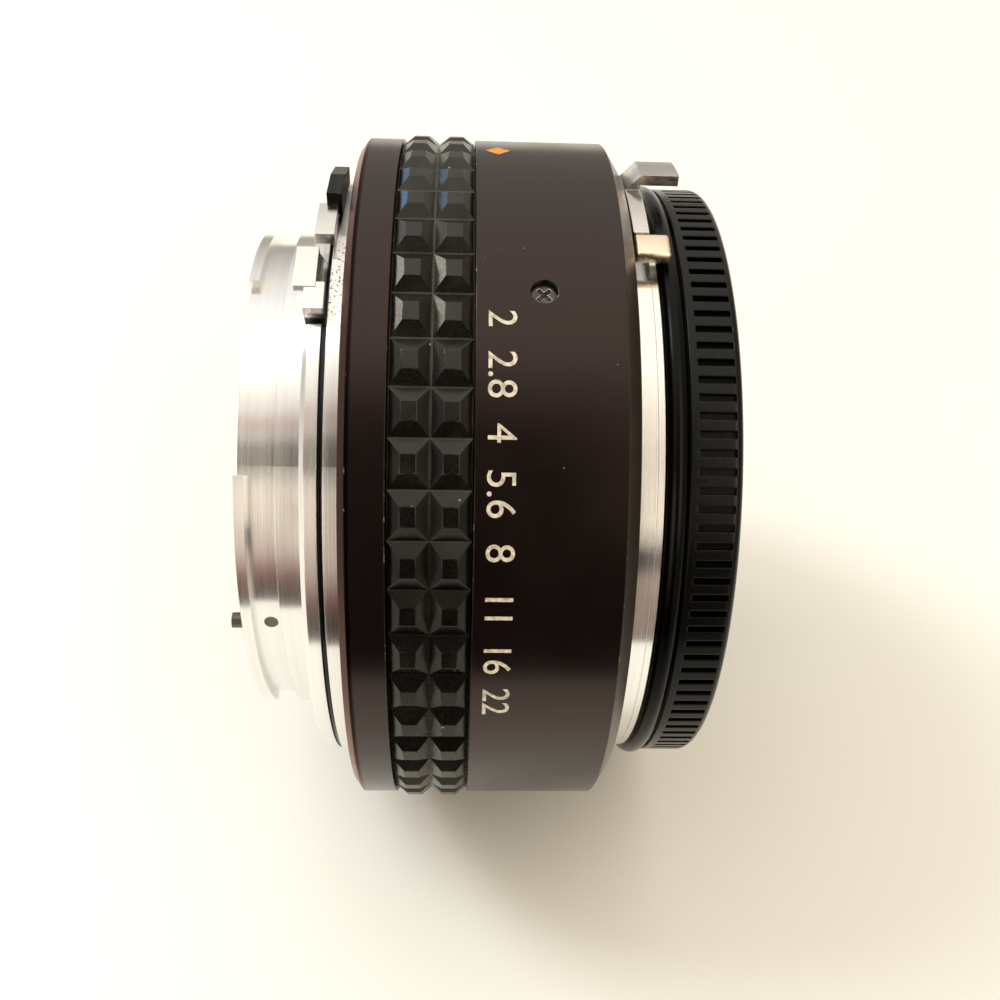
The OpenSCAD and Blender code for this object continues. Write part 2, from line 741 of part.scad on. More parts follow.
// Inner frame: rear boss, tube, slotted web and front boss on one bore.
module chassis() {
    color([0.20, 0.20, 0.21]) lay() difference() {
        rotate_extrude()
            polygon([
                [chassis_bore, boss_z], [boss_r, boss_z], [boss_r, boss_end], [chassis_tube_r, boss_end],
                [chassis_tube_r, chassis_web_z], [chassis_web_r, chassis_web_z],
                [chassis_web_r, chassis_web_end], [socket_out, chassis_web_end], [socket_out, socket_z],
                [chassis_bore, socket_z]
            ]);
        for (start = bar_angles)
            sector(bar_in - pass_gap, coupling_out + pass_gap, start - bar_arc / 2 - stop_margin,
                start + bar_arc / 2 + coupling_travel + stop_margin,
                chassis_web_z - over, chassis_web_end + over);
        for (i = [0 : barrel_screws_n - 1])
            radial_bar(barrel_screw_angle + i * 360 / barrel_screws_n, barrel_screw_z, shank_d / 2,
                coupling_out + pass_gap, chassis_web_r + over);
        for (i = [0 : mount_screws - 1])
            axial_bar(mount_screw_r, mount_screw_start + i * mount_screw_turn, shank_d / 2,
                boss_z - over, thread_len);
        for (i = [0 : lens_screws - 1])
            axial_bar(lens_screw_r, lens_screw_start + i * lens_screw_turn, shank_d / 2,
                socket_z - thread_len, socket_z + over);
        for (angle = set_screw_angles)
            radial_bar(angle, cell_flange_z + cell_flange_t / 2, shank_d / 2,
                chassis_bore - over, chassis_tube_r + over);
        axial_bar(lock_spring_r, lock_angle, lock_spring_d / 2 + fit,
            lock_spring_z, chassis_web_end + over);
    }
}

// Plated spacer ring under the lens flange, open where the front lug swings.
module front_flange_ring() {
    color("silver") lay() difference() {
        rotate_extrude()
            polygon([
                [front_ring_in, face_z], [front_ring_r - shadow_groove, face_z],
                [front_ring_r - shadow_groove, face_z + shadow_groove_len],
                [front_ring_r, face_z + shadow_groove_len], [front_ring_r, front_plate_z],
                [front_ring_in, front_plate_z]
            ]);
        sector(coupling_out - 2 * pass_gap, front_ring_r + over, window_start, window_end,
            face_z - over, front_plate_z + over);
        axial_bar(lock_r, lock_angle, lock_hole_r, face_z - over, front_plate_z + over);
    }
}

// Plated lens flange with the female bayonet socket.
module lens_mount() {
    color("silver") lay() difference() {
        union() {
            rotate_extrude()
                polygon([
                    [socket_cavity_r, socket_z], [socket_out, socket_z], [socket_out, front_plate_z],
                    [front_ring_r, front_plate_z], [front_ring_r, lens_flange_z],
                    [socket_r, lens_flange_z], [socket_r, socket_tab_z],
                    [socket_cavity_r, socket_tab_z]
                ]);
            three()
                sector(lens_tab_r, socket_cavity_r, lens_tab_start, lens_tab_start + lens_tab_arc,
                    socket_tab_z + fit, socket_tab_end);
        }
        for (i = [0 : lens_screws - 1]) {
            angle = lens_screw_start + i * lens_screw_turn;
            flange_screw_hole(lens_screw_r, angle, lens_head_d, lens_flange_z, -1);
            axial_bar(lens_screw_r, angle, shank_d / 2, socket_z - over, lens_flange_z - lens_plate_t);
        }
        axial_bar(lock_r, lock_angle, lock_hole_r, front_plate_z - over, lens_flange_z + over);
    }
}

// Long screws that run through the lens socket's wall into the chassis.
module lens_mount_screws() {
    color("gainsboro") lay()
        for (i = [0 : lens_screws - 1]) {
            angle = lens_screw_start + i * lens_screw_turn;
            flange_screw(lens_screw_r, angle, lens_head_d, lens_flange_z, -1);
            axial_bar(lens_screw_r, angle, shank_d / 2, socket_z - thread_len, lens_flange_z - thread_len);
        }
}

// Leaf springs behind the socket tabs; they pull the lens bayonet tight.
module lens_mount_springs() {
    leaf_arc = lens_tab_arc - 4 * stop_margin;
    color("lightsteelblue") lay()
        three()
            sector(lens_tab_r + mount_clear, socket_cavity_r - mount_clear,
                lens_tab_start + 2 * stop_margin, lens_tab_start + 2 * stop_margin + leaf_arc,
                socket_tab_z + fit - leaf_t, socket_tab_z + fit);
}

// Blackened tube that holds the glass; its flange is slotted for the stop-down lever.
module lens_cell() {
    color([0.14, 0.14, 0.15]) lay() difference() {
        union() {
            ring(cell_bore, cell_r, cell_z, cell_end);
            ring(cell_bore, cell_flange_r, cell_flange_z, cell_flange_z + cell_flange_t);
        }
        sector(cell_r + fit, cell_flange_r + over, lever_start - 2 * stop_margin, lever_slot_end,
            cell_flange_z - over, cell_flange_z + cell_flange_t + over);
        for (angle = set_screw_angles)
            radial_bar(angle, cell_flange_z + cell_flange_t / 2, shank_d / 2 + fit,
                cell_flange_r - pass_gap, cell_flange_r + over);
    }
}

// Radial screws that lock the lens cell in the chassis.
module cell_set_screws() {
    color("dimgray") lay()
        for (angle = set_screw_angles)
            radial_bar(angle, cell_flange_z + cell_flange_t / 2, shank_d / 2,
                cell_flange_r - pass_gap, chassis_tube_r);
}

// Light baffle at the rear of the lens cell.
module rear_baffle() {
    color([0.08, 0.08, 0.08]) lay()
        rotate_extrude()
            polygon([
                [baffle_r, baffle_z], [cell_r, baffle_z], [cell_r, cell_z],
                [cell_bore, cell_z]
            ]);
}

// Ring that fills the cell's bore between two stations.
module cell_ring(z0, z1) {
    color([0.10, 0.10, 0.10]) lay()
        ring(clear_r, element_r, z0, z1);
}

module rear_retaining_ring() {
    cell_ring(rear_retainer_z, rear_element_z);
}

module rear_spacer_ring() {
    cell_ring(rear_spacer_z, third_element_z);
}

module middle_spacer_ring() {
    cell_ring(middle_spacer_z, second_element_z);
}

module front_spacer_ring() {
    cell_ring(front_spacer_z, front_element_z);
}

module front_retaining_ring() {
    cell_ring(front_retainer_z, cell_end);
}

module rear_element() {
    color("lightcyan", 0.5) lay()
        element(rear_element_z, rear_spacer_z, rear_glass);
}

module third_element() {
    color("lightcyan", 0.5) lay()
        element(third_element_z, middle_spacer_z, third_glass);
}

module second_element() {
    color("lightcyan", 0.5) lay()
        element(second_element_z, front_spacer_z, second_glass);
}

module front_element() {
    color("lightcyan", 0.5) lay()
        element(front_element_z, front_retainer_z, front_glass);
}

// Close-wound return spring, drawn as the tube that its turns fill, along an arc.
module arc_spring(r, coil_r, arc, z) {
    color("slategray") lay()
        around(arc[1])
            rotate_extrude(angle = arc[1] - arc[0])
                translate([r, z])
                    circle(r = coil_r);
}

// Return spring of the aperture coupling, against the barrel's bore.
module coupling_spring() {
    coil_r = (bore_r - coupling_out) / 3;
    spring_z = barrel_z + spigot_len + coil_r + pass_gap;
    arc_spring(bore_r - coil_r - fit, coil_r, coupling_spring_arc, spring_z);
}

// Return spring of the stop-down ring, against the chassis bore.
module stop_down_spring() {
    coil_r = stop_ring_wall / 4;
    arc_spring(chassis_bore - coil_r - fit, coil_r, stop_spring_arc, stop_ring_end + coil_r + pass_gap);
}

// Turning sleeve round the chassis boss, with an inner flange for the coupling bars.
module rear_coupling_sleeve() {
    color("gainsboro") lay() difference() {
        rotate_extrude()
            polygon([
                [sleeve_in, lug_plate_end], [sleeve_out, lug_plate_end], [sleeve_out, sleeve_end],
                [sleeve_flange_in, sleeve_end], [sleeve_flange_in, sleeve_flange_z],
                [sleeve_in, sleeve_flange_z]
            ]);
        for (start = bar_angles)
            axial_bar(bar_screw_r, start, bar_screw_d / 2, sleeve_flange_z - over, sleeve_end + over);
    }
}

// Thin ring in the slot behind the flange plate, with the bent steel lug and the black lug's ear and heel.
module rear_lug_plate() {
    color("lightgray") lay() {
        difference() {
            ring(sleeve_in, black_ear_out, lug_plate_z, lug_plate_end);
            sector(lug_plate_out, black_ear_out + over, black_ear_end, black_ear_start + 360,
                lug_plate_z - over, lug_plate_end + over);
        }
        // Foot that rises through the window in the flange
        sector(rear_foot_in, rear_lug_out - fit, rear_foot_start, rear_lug_start + stop_margin,
            rear_lug_z + rear_lug_w / 2, lug_plate_z + lug_plate_t / 2);
        // Outward-facing plate
        sector(rear_lug_in, rear_lug_out, rear_lug_start, rear_lug_end,
            rear_lug_z, rear_lug_z + rear_lug_w);
        // Slanted wall from the thin ring up to that plate
        around(rear_lug_end - stop_margin)
            rotate_extrude(angle = rear_lug_arc - 1.5 * stop_margin)
                polygon([
                    [lug_plate_out - fit, lug_plate_z + fit], [lug_plate_out - fit, lug_plate_end - fit],
                    [rear_lug_out - fit, rear_lug_z + rear_lug_w - fit],
                    [rear_lug_in + fit, rear_lug_z + rear_lug_w - lug_plate_t]
                ]);
        // Heel beside the black lug
        sector(black_lug_in, black_ear_out + fit, black_lug_start - heel_arc, black_lug_start,
            heel_end - heel_w, heel_end);
    }
}

// Black lug moulded over the plate's ear, with two flats on its crown.
module rear_black_lug() {
    crown = black_lug_h / 4;
    end = black_lug_start + black_lug_arc;
    outline = [
        [black_lug_in, black_lug_start], [black_lug_out, black_lug_start], [black_lug_out, black_lug_angle],
        [black_lug_out - crown, end], [black_lug_in, end], [black_lug_in, black_lug_angle]
    ];
    color([0.07, 0.07, 0.07]) lay() difference() {
        translate([0, 0, black_lug_end - black_lug_w])
            linear_extrude(black_lug_w)
                polygon([for (p = outline) p[0] * [cos(p[1]), -sin(p[1])]]);
        sector(black_lug_in - over, black_ear_out, black_ear_start, black_ear_end,
            lug_plate_z, lug_plate_end);
    }
}

// Bars that join the rear sleeve to the front coupling ring through the chassis web.
module coupling_bars() {
    color("gainsboro") lay() difference() {
        for (start = bar_angles)
            sector(bar_in, coupling_out, start - bar_arc / 2, start + bar_arc / 2,
                sleeve_end, front_coupling_z);
        for (start = bar_angles) {
            axial_bar(bar_screw_r, start, bar_screw_d / 2, sleeve_end - over, sleeve_end + bar_screw_len);
            axial_bar(bar_screw_r, start, bar_screw_d / 2,
                front_coupling_z - bar_screw_len, front_coupling_z + over);
        }
    }
}

// Small screws at both ends of the coupling bars.
module coupling_screws() {
    color("dimgray") lay()
        for (start = bar_angles) {
            axial_bar(bar_screw_r, start, bar_screw_d / 2, sleeve_flange_z, sleeve_end + bar_screw_len);
            axial_bar(bar_screw_r, start, bar_screw_d / 2,
                front_coupling_z - bar_screw_len, front_coupling_end);
        }
}

// Ring that turns on the front boss and carries the front lug.
module front_coupling_ring() {
    color("gainsboro") lay() difference() {
        ring(coupling_in, coupling_out, front_coupling_z, front_coupling_end);
        for (start = bar_angles)
            axial_bar(bar_screw_r, start, bar_screw_d / 2,
                front_coupling_z - over, front_coupling_end + over);
    }
}

// Bent steel lug: stem out of the barrel, arm along the face and tab over the cap's bead.
module front_lug() {
    color("darkgray") lay() {
        sector(coupling_out, stem_out, stem_start, stem_end, front_coupling_z, lug_arm_end);
        sector(coupling_out, lug_arm_out, stem_start, stem_end, lug_arm_z, lug_arm_end);
        sector(lug_arm_in, lug_arm_out, follower_end, stem_end, lug_arm_z, lug_arm_end);
        // Tab, bent outwards from the arm and then along the axis
        around(stem_end)
            rotate_extrude(angle = tab_lug_arc)
                polygon([
                    [lug_arm_in, lug_arm_z], [lug_arm_out, lug_arm_z], [tab_lug_out, lug_arm_end],
                    [tab_lug_out, tab_lug_end], [tab_lug_in, tab_lug_end], [tab_lug_in, lug_arm_end],
                    [lug_arm_in, lug_arm_end]
                ]);
        follower_tongue();
    }
}

// Tongue of the arm that holds the brass follower.
module follower_tongue() {
    sector(lug_arm_in + fit, lug_arm_in + lug_sheet / 2, follower_start + stop_margin,
        follower_end + stop_margin, lug_arm_z + fit, lug_arm_end - fit);
}

// Brass block on the end of the arm, where the lens ring bears.
module brass_follower() {
    color([0.72, 0.56, 0.32]) lay() difference() {
        sector(follower_in, follower_in + follower_t, follower_start, follower_end,
            lug_arm_z, lug_arm_z + follower_len);
        follower_tongue();
    }
}

// Ring that turns in the chassis bore round the lens cell.
module stop_down_ring() {
    color("gray") lay() difference() {
        ring(stop_ring_in, stop_ring_out, stop_ring_z, stop_ring_end);
        axial_bar(stop_pin_r, stop_pin_angle, stop_pin_d / 2, stop_ring_z - over, stop_ring_end + over);
    }
}

// Pin that the camera's stop-down lever pushes.
module stop_down_pin() {
    color([0.25, 0.25, 0.25]) lay()
        axial_bar(stop_pin_r, stop_pin_angle, stop_pin_d / 2, tab_end_z - stop_pin_reach, stop_ring_end);
}

// Lever that passes the movement on to the lens.
module stop_down_lever() {
    color("darkgray") lay()
        sector(lever_in, lever_in + lever_t, lever_start, lever_start + lever_arc,
            stop_ring_end, lever_end);
}

// Spring-loaded pin that locks the lens, on the foot that the knob draws back.
module lock_pin() {
    color("lightgray") lay() {
        axial_bar(lock_r, lock_angle, lock_pin_d / 2, lock_foot_z, lens_flange_z + lock_reach);
        around(lock_angle) {
            translate([lock_foot_in, -knob_neck_w / 2, lock_foot_z])
                cube([lock_block_in - lock_foot_in + over, knob_neck_w, lock_foot_t]);
            translate([lock_block_in, -knob_neck_w / 2, lock_block_z])
                cube([lock_spring_d + fit, knob_neck_w, lock_foot_end - lock_block_z]);
        }
    }
}

// Sliding release knob on the far side of the barrel.
module release_knob() {
    neck_in = lock_block_in + lock_spring_d + fit;
    rib_w = knob_pad_t / 3;
    color([0.12, 0.11, 0.11]) lay() difference() {
        union() {
            around(lock_angle)
                translate([neck_in, -knob_neck_w / 2, knob_neck_z])
                    cube([knob_pad_in + knob_pad_t / 2 - neck_in, knob_neck_w, knob_neck_len]);
            intersection() {
                ring(knob_pad_in, knob_pad_in + knob_pad_t, knob_pad_z, knob_pad_end);
                around(lock_angle)
                    translate([0, -knob_pad_w / 2, 0])
                        cube([2 * barrel_r, knob_pad_w, lens_flange_z]);
            }
        }
        for (i = [1 : 3])
            ring(knob_pad_in + knob_pad_t * 2 / 3, barrel_r * 2,
                knob_pad_z + i * (knob_pad_end - knob_pad_z) / 4 - rib_w / 2,
                knob_pad_z + i * (knob_pad_end - knob_pad_z) / 4 + rib_w / 2);
    }
}

// Coil behind the lock block, drawn as the tube that its turns fill.
module lock_spring() {
    wire = lock_spring_d / 5;
    color("slategray") lay() difference() {
        axial_bar(lock_spring_r, lock_angle, lock_spring_d / 2, lock_spring_z, lock_block_z);
        axial_bar(lock_spring_r, lock_angle, lock_spring_d / 2 - wire,
            lock_spring_z - over, lock_block_z + over);
    }
}

// Moulded cap with a rounded bead, a slotted rim and a plug that enters the lens socket.
module front_cap() {
    bead_round = bead_len / 2;
    slot_z = rim_z + rim_land;
    slot_end = rim_end - rim_land;
    color([0.09, 0.09, 0.09]) lay() difference() {
        union() {
            rotate_extrude() {
                translate([plug_in, cap_z])
                    square([bead_r - bead_round - plug_in, bead_len]);
                translate([bead_r - bead_round, cap_z + bead_round])
                    circle(r = bead_round);
            }
            ring(plug_in, cap_groove_r, cap_z, rim_z + rim_land);
            rotate_extrude() {
                translate([plug_in, rim_z])
                    square([rim_r - plug_in, rim_len - rim_round]);
                translate([plug_in, rim_z])
                    square([rim_r - rim_round - plug_in, rim_len]);
                translate([rim_r - rim_round, rim_end - rim_round])
                    circle(r = rim_round);
            }
            ring(0, rim_r - rim_round, cap_inside_end, rim_end);
            ring(plug_in, plug_r, plug_z, rim_z);
            three()
                sector(plug_in, cap_tab_r, cap_tab_start, cap_tab_start + cap_tab_arc,
                    plug_z, plug_z + tab_len);
        }
        for (i = [0 : rim_slots - 1])
            rotate([0, 0, i * 360 / rim_slots])
                translate([rim_r - rim_slot_depth, -rim_slot_w / 2, slot_z])
                    cube([2 * rim_slot_depth, rim_slot_w, slot_end - slot_z]);
        axial_bar(lock_r, lock_angle, lock_hole_r + pass_gap, cap_z - over, cap_z + lock_reach + pass_gap);
        // Shallow dish in the front plate
        ring(0, rim_r - 4 * rim_round, rim_end - rim_round / 2, rim_end + over);
    }
}

camera_mount();
camera_mount_screws();
bayonet_stop_screw();
rear_flange_ring();
rear_collar();
rubber_grip();
main_barrel();
barrel_screws();
chassis();
front_flange_ring();
lens_mount();
lens_mount_screws();
lens_mount_springs();
lens_cell();
cell_set_screws();
rear_baffle();
rear_retaining_ring();
rear_element();
rear_spacer_ring();
third_element();
middle_spacer_ring();
second_element();
front_spacer_ring();
front_element();
front_retaining_ring();
coupling_spring();
stop_down_spring();
rear_coupling_sleeve();
rear_lug_plate();
rear_black_lug();
coupling_bars();
coupling_screws();
front_coupling_ring();
front_lug();
brass_follower();
stop_down_ring();
stop_down_pin();
stop_down_lever();
lock_pin();
release_knob();
lock_spring();
front_cap();
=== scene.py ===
import math

import bmesh
import bpy
from mathutils import Matrix, Vector


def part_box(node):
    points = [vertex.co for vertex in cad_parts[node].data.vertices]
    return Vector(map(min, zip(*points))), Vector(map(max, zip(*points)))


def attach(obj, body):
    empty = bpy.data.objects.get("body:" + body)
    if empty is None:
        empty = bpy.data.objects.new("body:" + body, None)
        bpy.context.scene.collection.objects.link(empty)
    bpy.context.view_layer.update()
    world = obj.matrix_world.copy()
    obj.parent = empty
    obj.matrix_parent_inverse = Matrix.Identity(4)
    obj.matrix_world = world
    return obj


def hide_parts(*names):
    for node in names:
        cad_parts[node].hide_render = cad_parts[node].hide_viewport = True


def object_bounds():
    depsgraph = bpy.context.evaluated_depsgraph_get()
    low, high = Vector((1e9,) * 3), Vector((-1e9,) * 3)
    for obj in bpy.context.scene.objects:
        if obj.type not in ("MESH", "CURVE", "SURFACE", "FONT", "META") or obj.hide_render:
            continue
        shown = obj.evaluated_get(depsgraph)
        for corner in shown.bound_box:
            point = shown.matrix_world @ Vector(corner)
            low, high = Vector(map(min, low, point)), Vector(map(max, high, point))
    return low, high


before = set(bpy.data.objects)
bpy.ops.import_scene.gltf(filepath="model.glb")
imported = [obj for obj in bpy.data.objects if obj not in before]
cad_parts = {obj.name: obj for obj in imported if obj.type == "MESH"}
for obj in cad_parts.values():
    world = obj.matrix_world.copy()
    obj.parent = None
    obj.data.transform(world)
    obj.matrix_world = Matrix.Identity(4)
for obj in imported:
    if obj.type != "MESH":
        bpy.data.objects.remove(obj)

cad_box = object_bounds()

# Chassis: the turned aluminium tube and web that carries both mounts and the barrel screws.
# It is dyed dark, and its lathe rings stay visible through the dye. Every other turned piece
# shows the same kind of rings and broken edges, so two shared groups draw them.
MM = 0.001


def put(tree, kind, sockets=None, **settings):
    made = tree.nodes.new(kind)
    for name, value in settings.items():
        setattr(made, name, value)
    for name, value in (sockets or {}).items():
        if isinstance(value, bpy.types.NodeSocket):
            tree.links.new(value, made.inputs[name])
        else:
            made.inputs[name].default_value = value
    return made


def calc(tree, operation, first, second):
    return put(tree, "ShaderNodeMath", {0: first, 1: second}, operation=operation).outputs[0]


def spread(tree, value, low, high, start=0.0, end=1.0):
    made = put(tree, "ShaderNodeMapRange", {
        "Value": value, "From Min": low, "From Max": high, "To Min": start, "To Max": end})
    return made.outputs["Result"]


def blend_colour(tree, factor, first, second):
    return put(tree, "ShaderNodeMix", {0: factor, 6: first, 7: second}, data_type="RGBA").outputs[2]


def noise(tree, scale, detail, roughness=0.5):
    place = put(tree, "ShaderNodeTexCoord").outputs["Object"]
    made = put(tree, "ShaderNodeTexNoise", {
        "Vector": place, "Scale": scale, "Detail": detail, "Roughness": roughness})
    return made.outputs["Fac"]


def start_group(name, inputs, outputs):
    group = bpy.data.node_groups.new(name, "ShaderNodeTree")
    for label, default in inputs:
        socket = group.interface.new_socket(label, in_out="INPUT", socket_type="NodeSocketFloat")
        socket.default_value = default
    for label in outputs:
        kind = "NodeSocketVector" if label == "Normal" else "NodeSocketFloat"
        group.interface.new_socket(label, in_out="OUTPUT", socket_type=kind)
    return group, put(group, "NodeGroupInput"), put(group, "NodeGroupOutput")


def use_group(tree, group, **values):
    made = put(tree, "ShaderNodeGroup", node_tree=group)
    for name, value in values.items():
        made.inputs[name].default_value = value
    return made.outputs


def axis_and_radius(tree):
    place = put(tree, "ShaderNodeTexCoord").outputs["Object"]
    split = put(tree, "ShaderNodeSeparateXYZ", {0: place})
    across = put(tree, "ShaderNodeCombineXYZ", {"Y": split.outputs["Y"], "Z": split.outputs["Z"]})
    radius = put(tree, "ShaderNodeVectorMath", {0: across.outputs[0]}, operation="LENGTH")
    return split.outputs["X"], radius.outputs["Value"]


turned_rings, rings_in, rings_out = start_group(
    "turned_rings", [("Lines", 9000.0), ("Sharpness", 0.6)], ["Tone", "Broad"])
station, radius = axis_and_radius(turned_rings)
profile = put(turned_rings, "ShaderNodeCombineXYZ", {"X": station, "Y": radius})
for label, share, detail in (("Tone", 1.0, 3.0), ("Broad", 0.12, 1.0)):
    pitch = calc(turned_rings, "MULTIPLY", rings_in.outputs["Lines"], share)
    rings = put(turned_rings, "ShaderNodeTexNoise", {
        "Vector": profile.outputs[0], "Scale": pitch, "Detail": detail,
        "Roughness": rings_in.outputs["Sharpness"]}, noise_dimensions="2D")
    turned_rings.links.new(rings.outputs["Fac"], rings_out.inputs[label])

broken_edges, edges_in, edges_out = start_group(
    "broken_edges", [("Width", 0.08 * MM), ("Patches", 900.0), ("Rubbed", 0.5)], ["Normal", "Mask"])
rounding = put(broken_edges, "ShaderNodeBevel", {"Radius": edges_in.outputs["Width"]}, samples=6)
facing = put(broken_edges, "ShaderNodeNewGeometry").outputs["Normal"]
lean = put(
    broken_edges, "ShaderNodeVectorMath", {0: rounding.outputs[0], 1: facing}, operation="DOT_PRODUCT")
near_edge = spread(broken_edges, lean.outputs["Value"], 0.995, 0.93)
patches = noise(broken_edges, edges_in.outputs["Patches"], 4.0, 0.65)
limit = calc(broken_edges, "SUBTRACT", 1.0, edges_in.outputs["Rubbed"])
limit_end = calc(broken_edges, "ADD", limit, 0.12)
rubbed = spread(broken_edges, patches, limit, limit_end)
broken_edges.links.new(calc(broken_edges, "MULTIPLY", near_edge, rubbed), edges_out.inputs["Mask"])
broken_edges.links.new(rounding.outputs[0], edges_out.inputs["Normal"])


def new_finish(name):
    finish = bpy.data.materials.new(name)
    finish.use_nodes = True
    return finish, finish.node_tree, finish.node_tree.nodes["Principled BSDF"]


def bump(tree, height, distance, normal=None):
    sockets = {"Height": height, "Distance": distance}
    if normal is not None:
        sockets["Normal"] = normal
    return put(tree, "ShaderNodeBump", sockets).outputs["Normal"]


def turned_metal(name, tone_low, tone_high, rough, lines=9000.0, ring_height=0.4e-6, edge=0.08 * MM,
                 rubbed=0.4, rub_tone=(0.72, 0.71, 0.69, 1)):
    finish, tree, shader = new_finish(name)
    rings = use_group(tree, turned_rings, Lines=lines)
    edges = use_group(tree, broken_edges, Width=edge, Rubbed=rubbed)
    colour = blend_colour(tree, rings["Broad"], tone_low, tone_high)
    colour = blend_colour(tree, edges["Mask"], colour, rub_tone)
    tree.links.new(colour, shader.inputs["Base Color"])
    tree.links.new(spread(tree, rings["Tone"], 0.3, 0.7, rough[0], rough[1]), shader.inputs["Roughness"])
    tree.links.new(bump(tree, rings["Tone"], ring_height, edges["Normal"]), shader.inputs["Normal"])
    shader.inputs["Metallic"].default_value = 1.0
    return finish, tree, shader


def dress(finish, *names):
    for name in names:
        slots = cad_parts[name].data.materials
        slots.clear()
        slots.append(finish)


dark_dye, _, _ = turned_metal(
    "dark_dyed_aluminium", (0.010, 0.010, 0.011, 1), (0.020, 0.019, 0.019, 1), (0.34, 0.5))
dress(dark_dye, "chassis")

# Lens cell and its fittings: a turned tube dyed matt black, with spacers, retaining rings and a
# light baffle that screw or drop in. Three set screws fix the cell in the chassis.
matt_black, _, _ = turned_metal(
    "matt_black_turning", (0.006, 0.006, 0.006, 1), (0.012, 0.012, 0.012, 1), (0.5, 0.62), 14000.0, 1e-6)
dress(matt_black, "lens_cell", "rear_baffle", "rear_retaining_ring", "rear_spacer_ring", "middle_spacer_ring",
      "front_spacer_ring", "front_retaining_ring")

# Lens elements: four ground and coated glasses, stacked in the cell. The coating gives a faint
# violet reflection, and the ground edges are hidden by the rings.
coated_glass, glass_tree, glass = new_finish("coated_glass")
glass.inputs["Transmission Weight"].default_value = 1.0
glass.inputs["IOR"].default_value = 1.62
glass.inputs["Coat Weight"].default_value = 0.4
glass.inputs["Coat Tint"].default_value = (0.75, 0.6, 1.0, 1)
haze = noise(glass_tree, 400.0, 4.0)
glass_tree.links.new(spread(glass_tree, haze, 0.35, 0.75, 0.0, 0.03), glass.inputs["Roughness"])
glass_tree.links.new(
    blend_colour(glass_tree, haze, (0.97, 0.985, 1.0, 1), (1.0, 0.985, 0.97, 1)), glass.inputs["Base Color"])
dress(coated_glass, "rear_element", "third_element", "second_element", "front_element")

# Aperture coupling and stop-down ring: turned sleeves and rings and two milled bars that carry the
# lugs from one flange to the other, with wire return springs.
light_turned, _, _ = turned_metal(
    "light_turned_aluminium", (0.58, 0.57, 0.55, 1), (0.72, 0.71, 0.69, 1), (0.24, 0.36))
dress(light_turned, "rear_coupling_sleeve", "coupling_bars", "front_coupling_ring", "stop_down_ring")
spring_wire, _, _ = turned_metal("spring_wire", (0.42, 0.41, 0.40, 1), (0.6, 0.58, 0.56, 1), (0.25, 0.4))
dress(spring_wire, "coupling_spring", "stop_down_spring", "lock_spring", "lens_mount_springs")

# Mounts and flange rings: turned brass, chrome plated and polished on the lathe. The fine rings
# round the axis spread reflections along it, so light gathers in bands across each ring. Dark
# specks of dirt sit on the rear flange ring, near its lug.
loose_dust, dust_in, dust_out = start_group(
    "loose_dust", [("Cells", 700.0), ("Share", 0.1), ("Size", 0.06)], ["Mask"])
place = put(loose_dust, "ShaderNodeTexCoord").outputs["Object"]
cells = put(loose_dust, "ShaderNodeTexVoronoi", {"Vector": place, "Scale": dust_in.outputs["Cells"]})
draw = put(loose_dust, "ShaderNodeSeparateColor", {0: cells.outputs["Color"]})
few = calc(loose_dust, "LESS_THAN", draw.outputs["Red"], dust_in.outputs["Share"])
reach = calc(loose_dust, "MULTIPLY", dust_in.outputs["Size"], draw.outputs["Green"])
grains = calc(loose_dust, "LESS_THAN", cells.outputs["Distance"], reach)
loose_dust.links.new(calc(loose_dust, "MULTIPLY", few, grains), dust_out.inputs["Mask"])


def plated(name, tone_low, tone_high):
    finish, tree, shader = turned_metal(name, tone_low, tone_high, (0.19, 0.26), 16000.0, 3e-6)
    shader.inputs["Anisotropic"].default_value = 1.0
    shader.inputs["Anisotropic Rotation"].default_value = 0.25
    round_axis = put(tree, "ShaderNodeTangent", direction_type="RADIAL", axis="X")
    tree.links.new(round_axis.outputs[0], shader.inputs["Tangent"])
    return finish, tree, shader


chrome, _, _ = plated("satin_chrome", (0.84, 0.835, 0.82, 1), (0.94, 0.935, 0.925, 1))
dress(chrome, "camera_mount")
clean_chrome, _, _ = plated("bright_chrome", (0.88, 0.875, 0.86, 1), (0.96, 0.955, 0.945, 1))
dress(clean_chrome, "front_flange_ring", "lens_mount")
soiled_chrome, soiled_tree, soiled = plated("soiled_chrome", (0.84, 0.835, 0.82, 1), (0.94, 0.935, 0.925, 1))
SOILED_PLACE, SOILED_FROM, SOILED_TO = (2.6 * MM, -8.6 * MM, 27.1 * MM), 6.5 * MM, 2.0 * MM
place = put(soiled_tree, "ShaderNodeTexCoord").outputs["Object"]
away = put(soiled_tree, "ShaderNodeVectorMath", {0: place, 1: SOILED_PLACE}, operation="DISTANCE")
near_lug = spread(soiled_tree, away.outputs["Value"], SOILED_FROM, SOILED_TO)
dirt = use_group(soiled_tree, loose_dust, Cells=6500.0, Share=0.4, Size=0.7)
specks = calc(soiled_tree, "MULTIPLY", dirt["Mask"], near_lug)
plate_tone = soiled.inputs["Base Color"].links[0].from_socket
soiled_tree.links.new(
    blend_colour(soiled_tree, specks, plate_tone, (0.16, 0.12, 0.07, 1)), soiled.inputs["Base Color"])
dress(soiled_chrome, "rear_flange_ring")
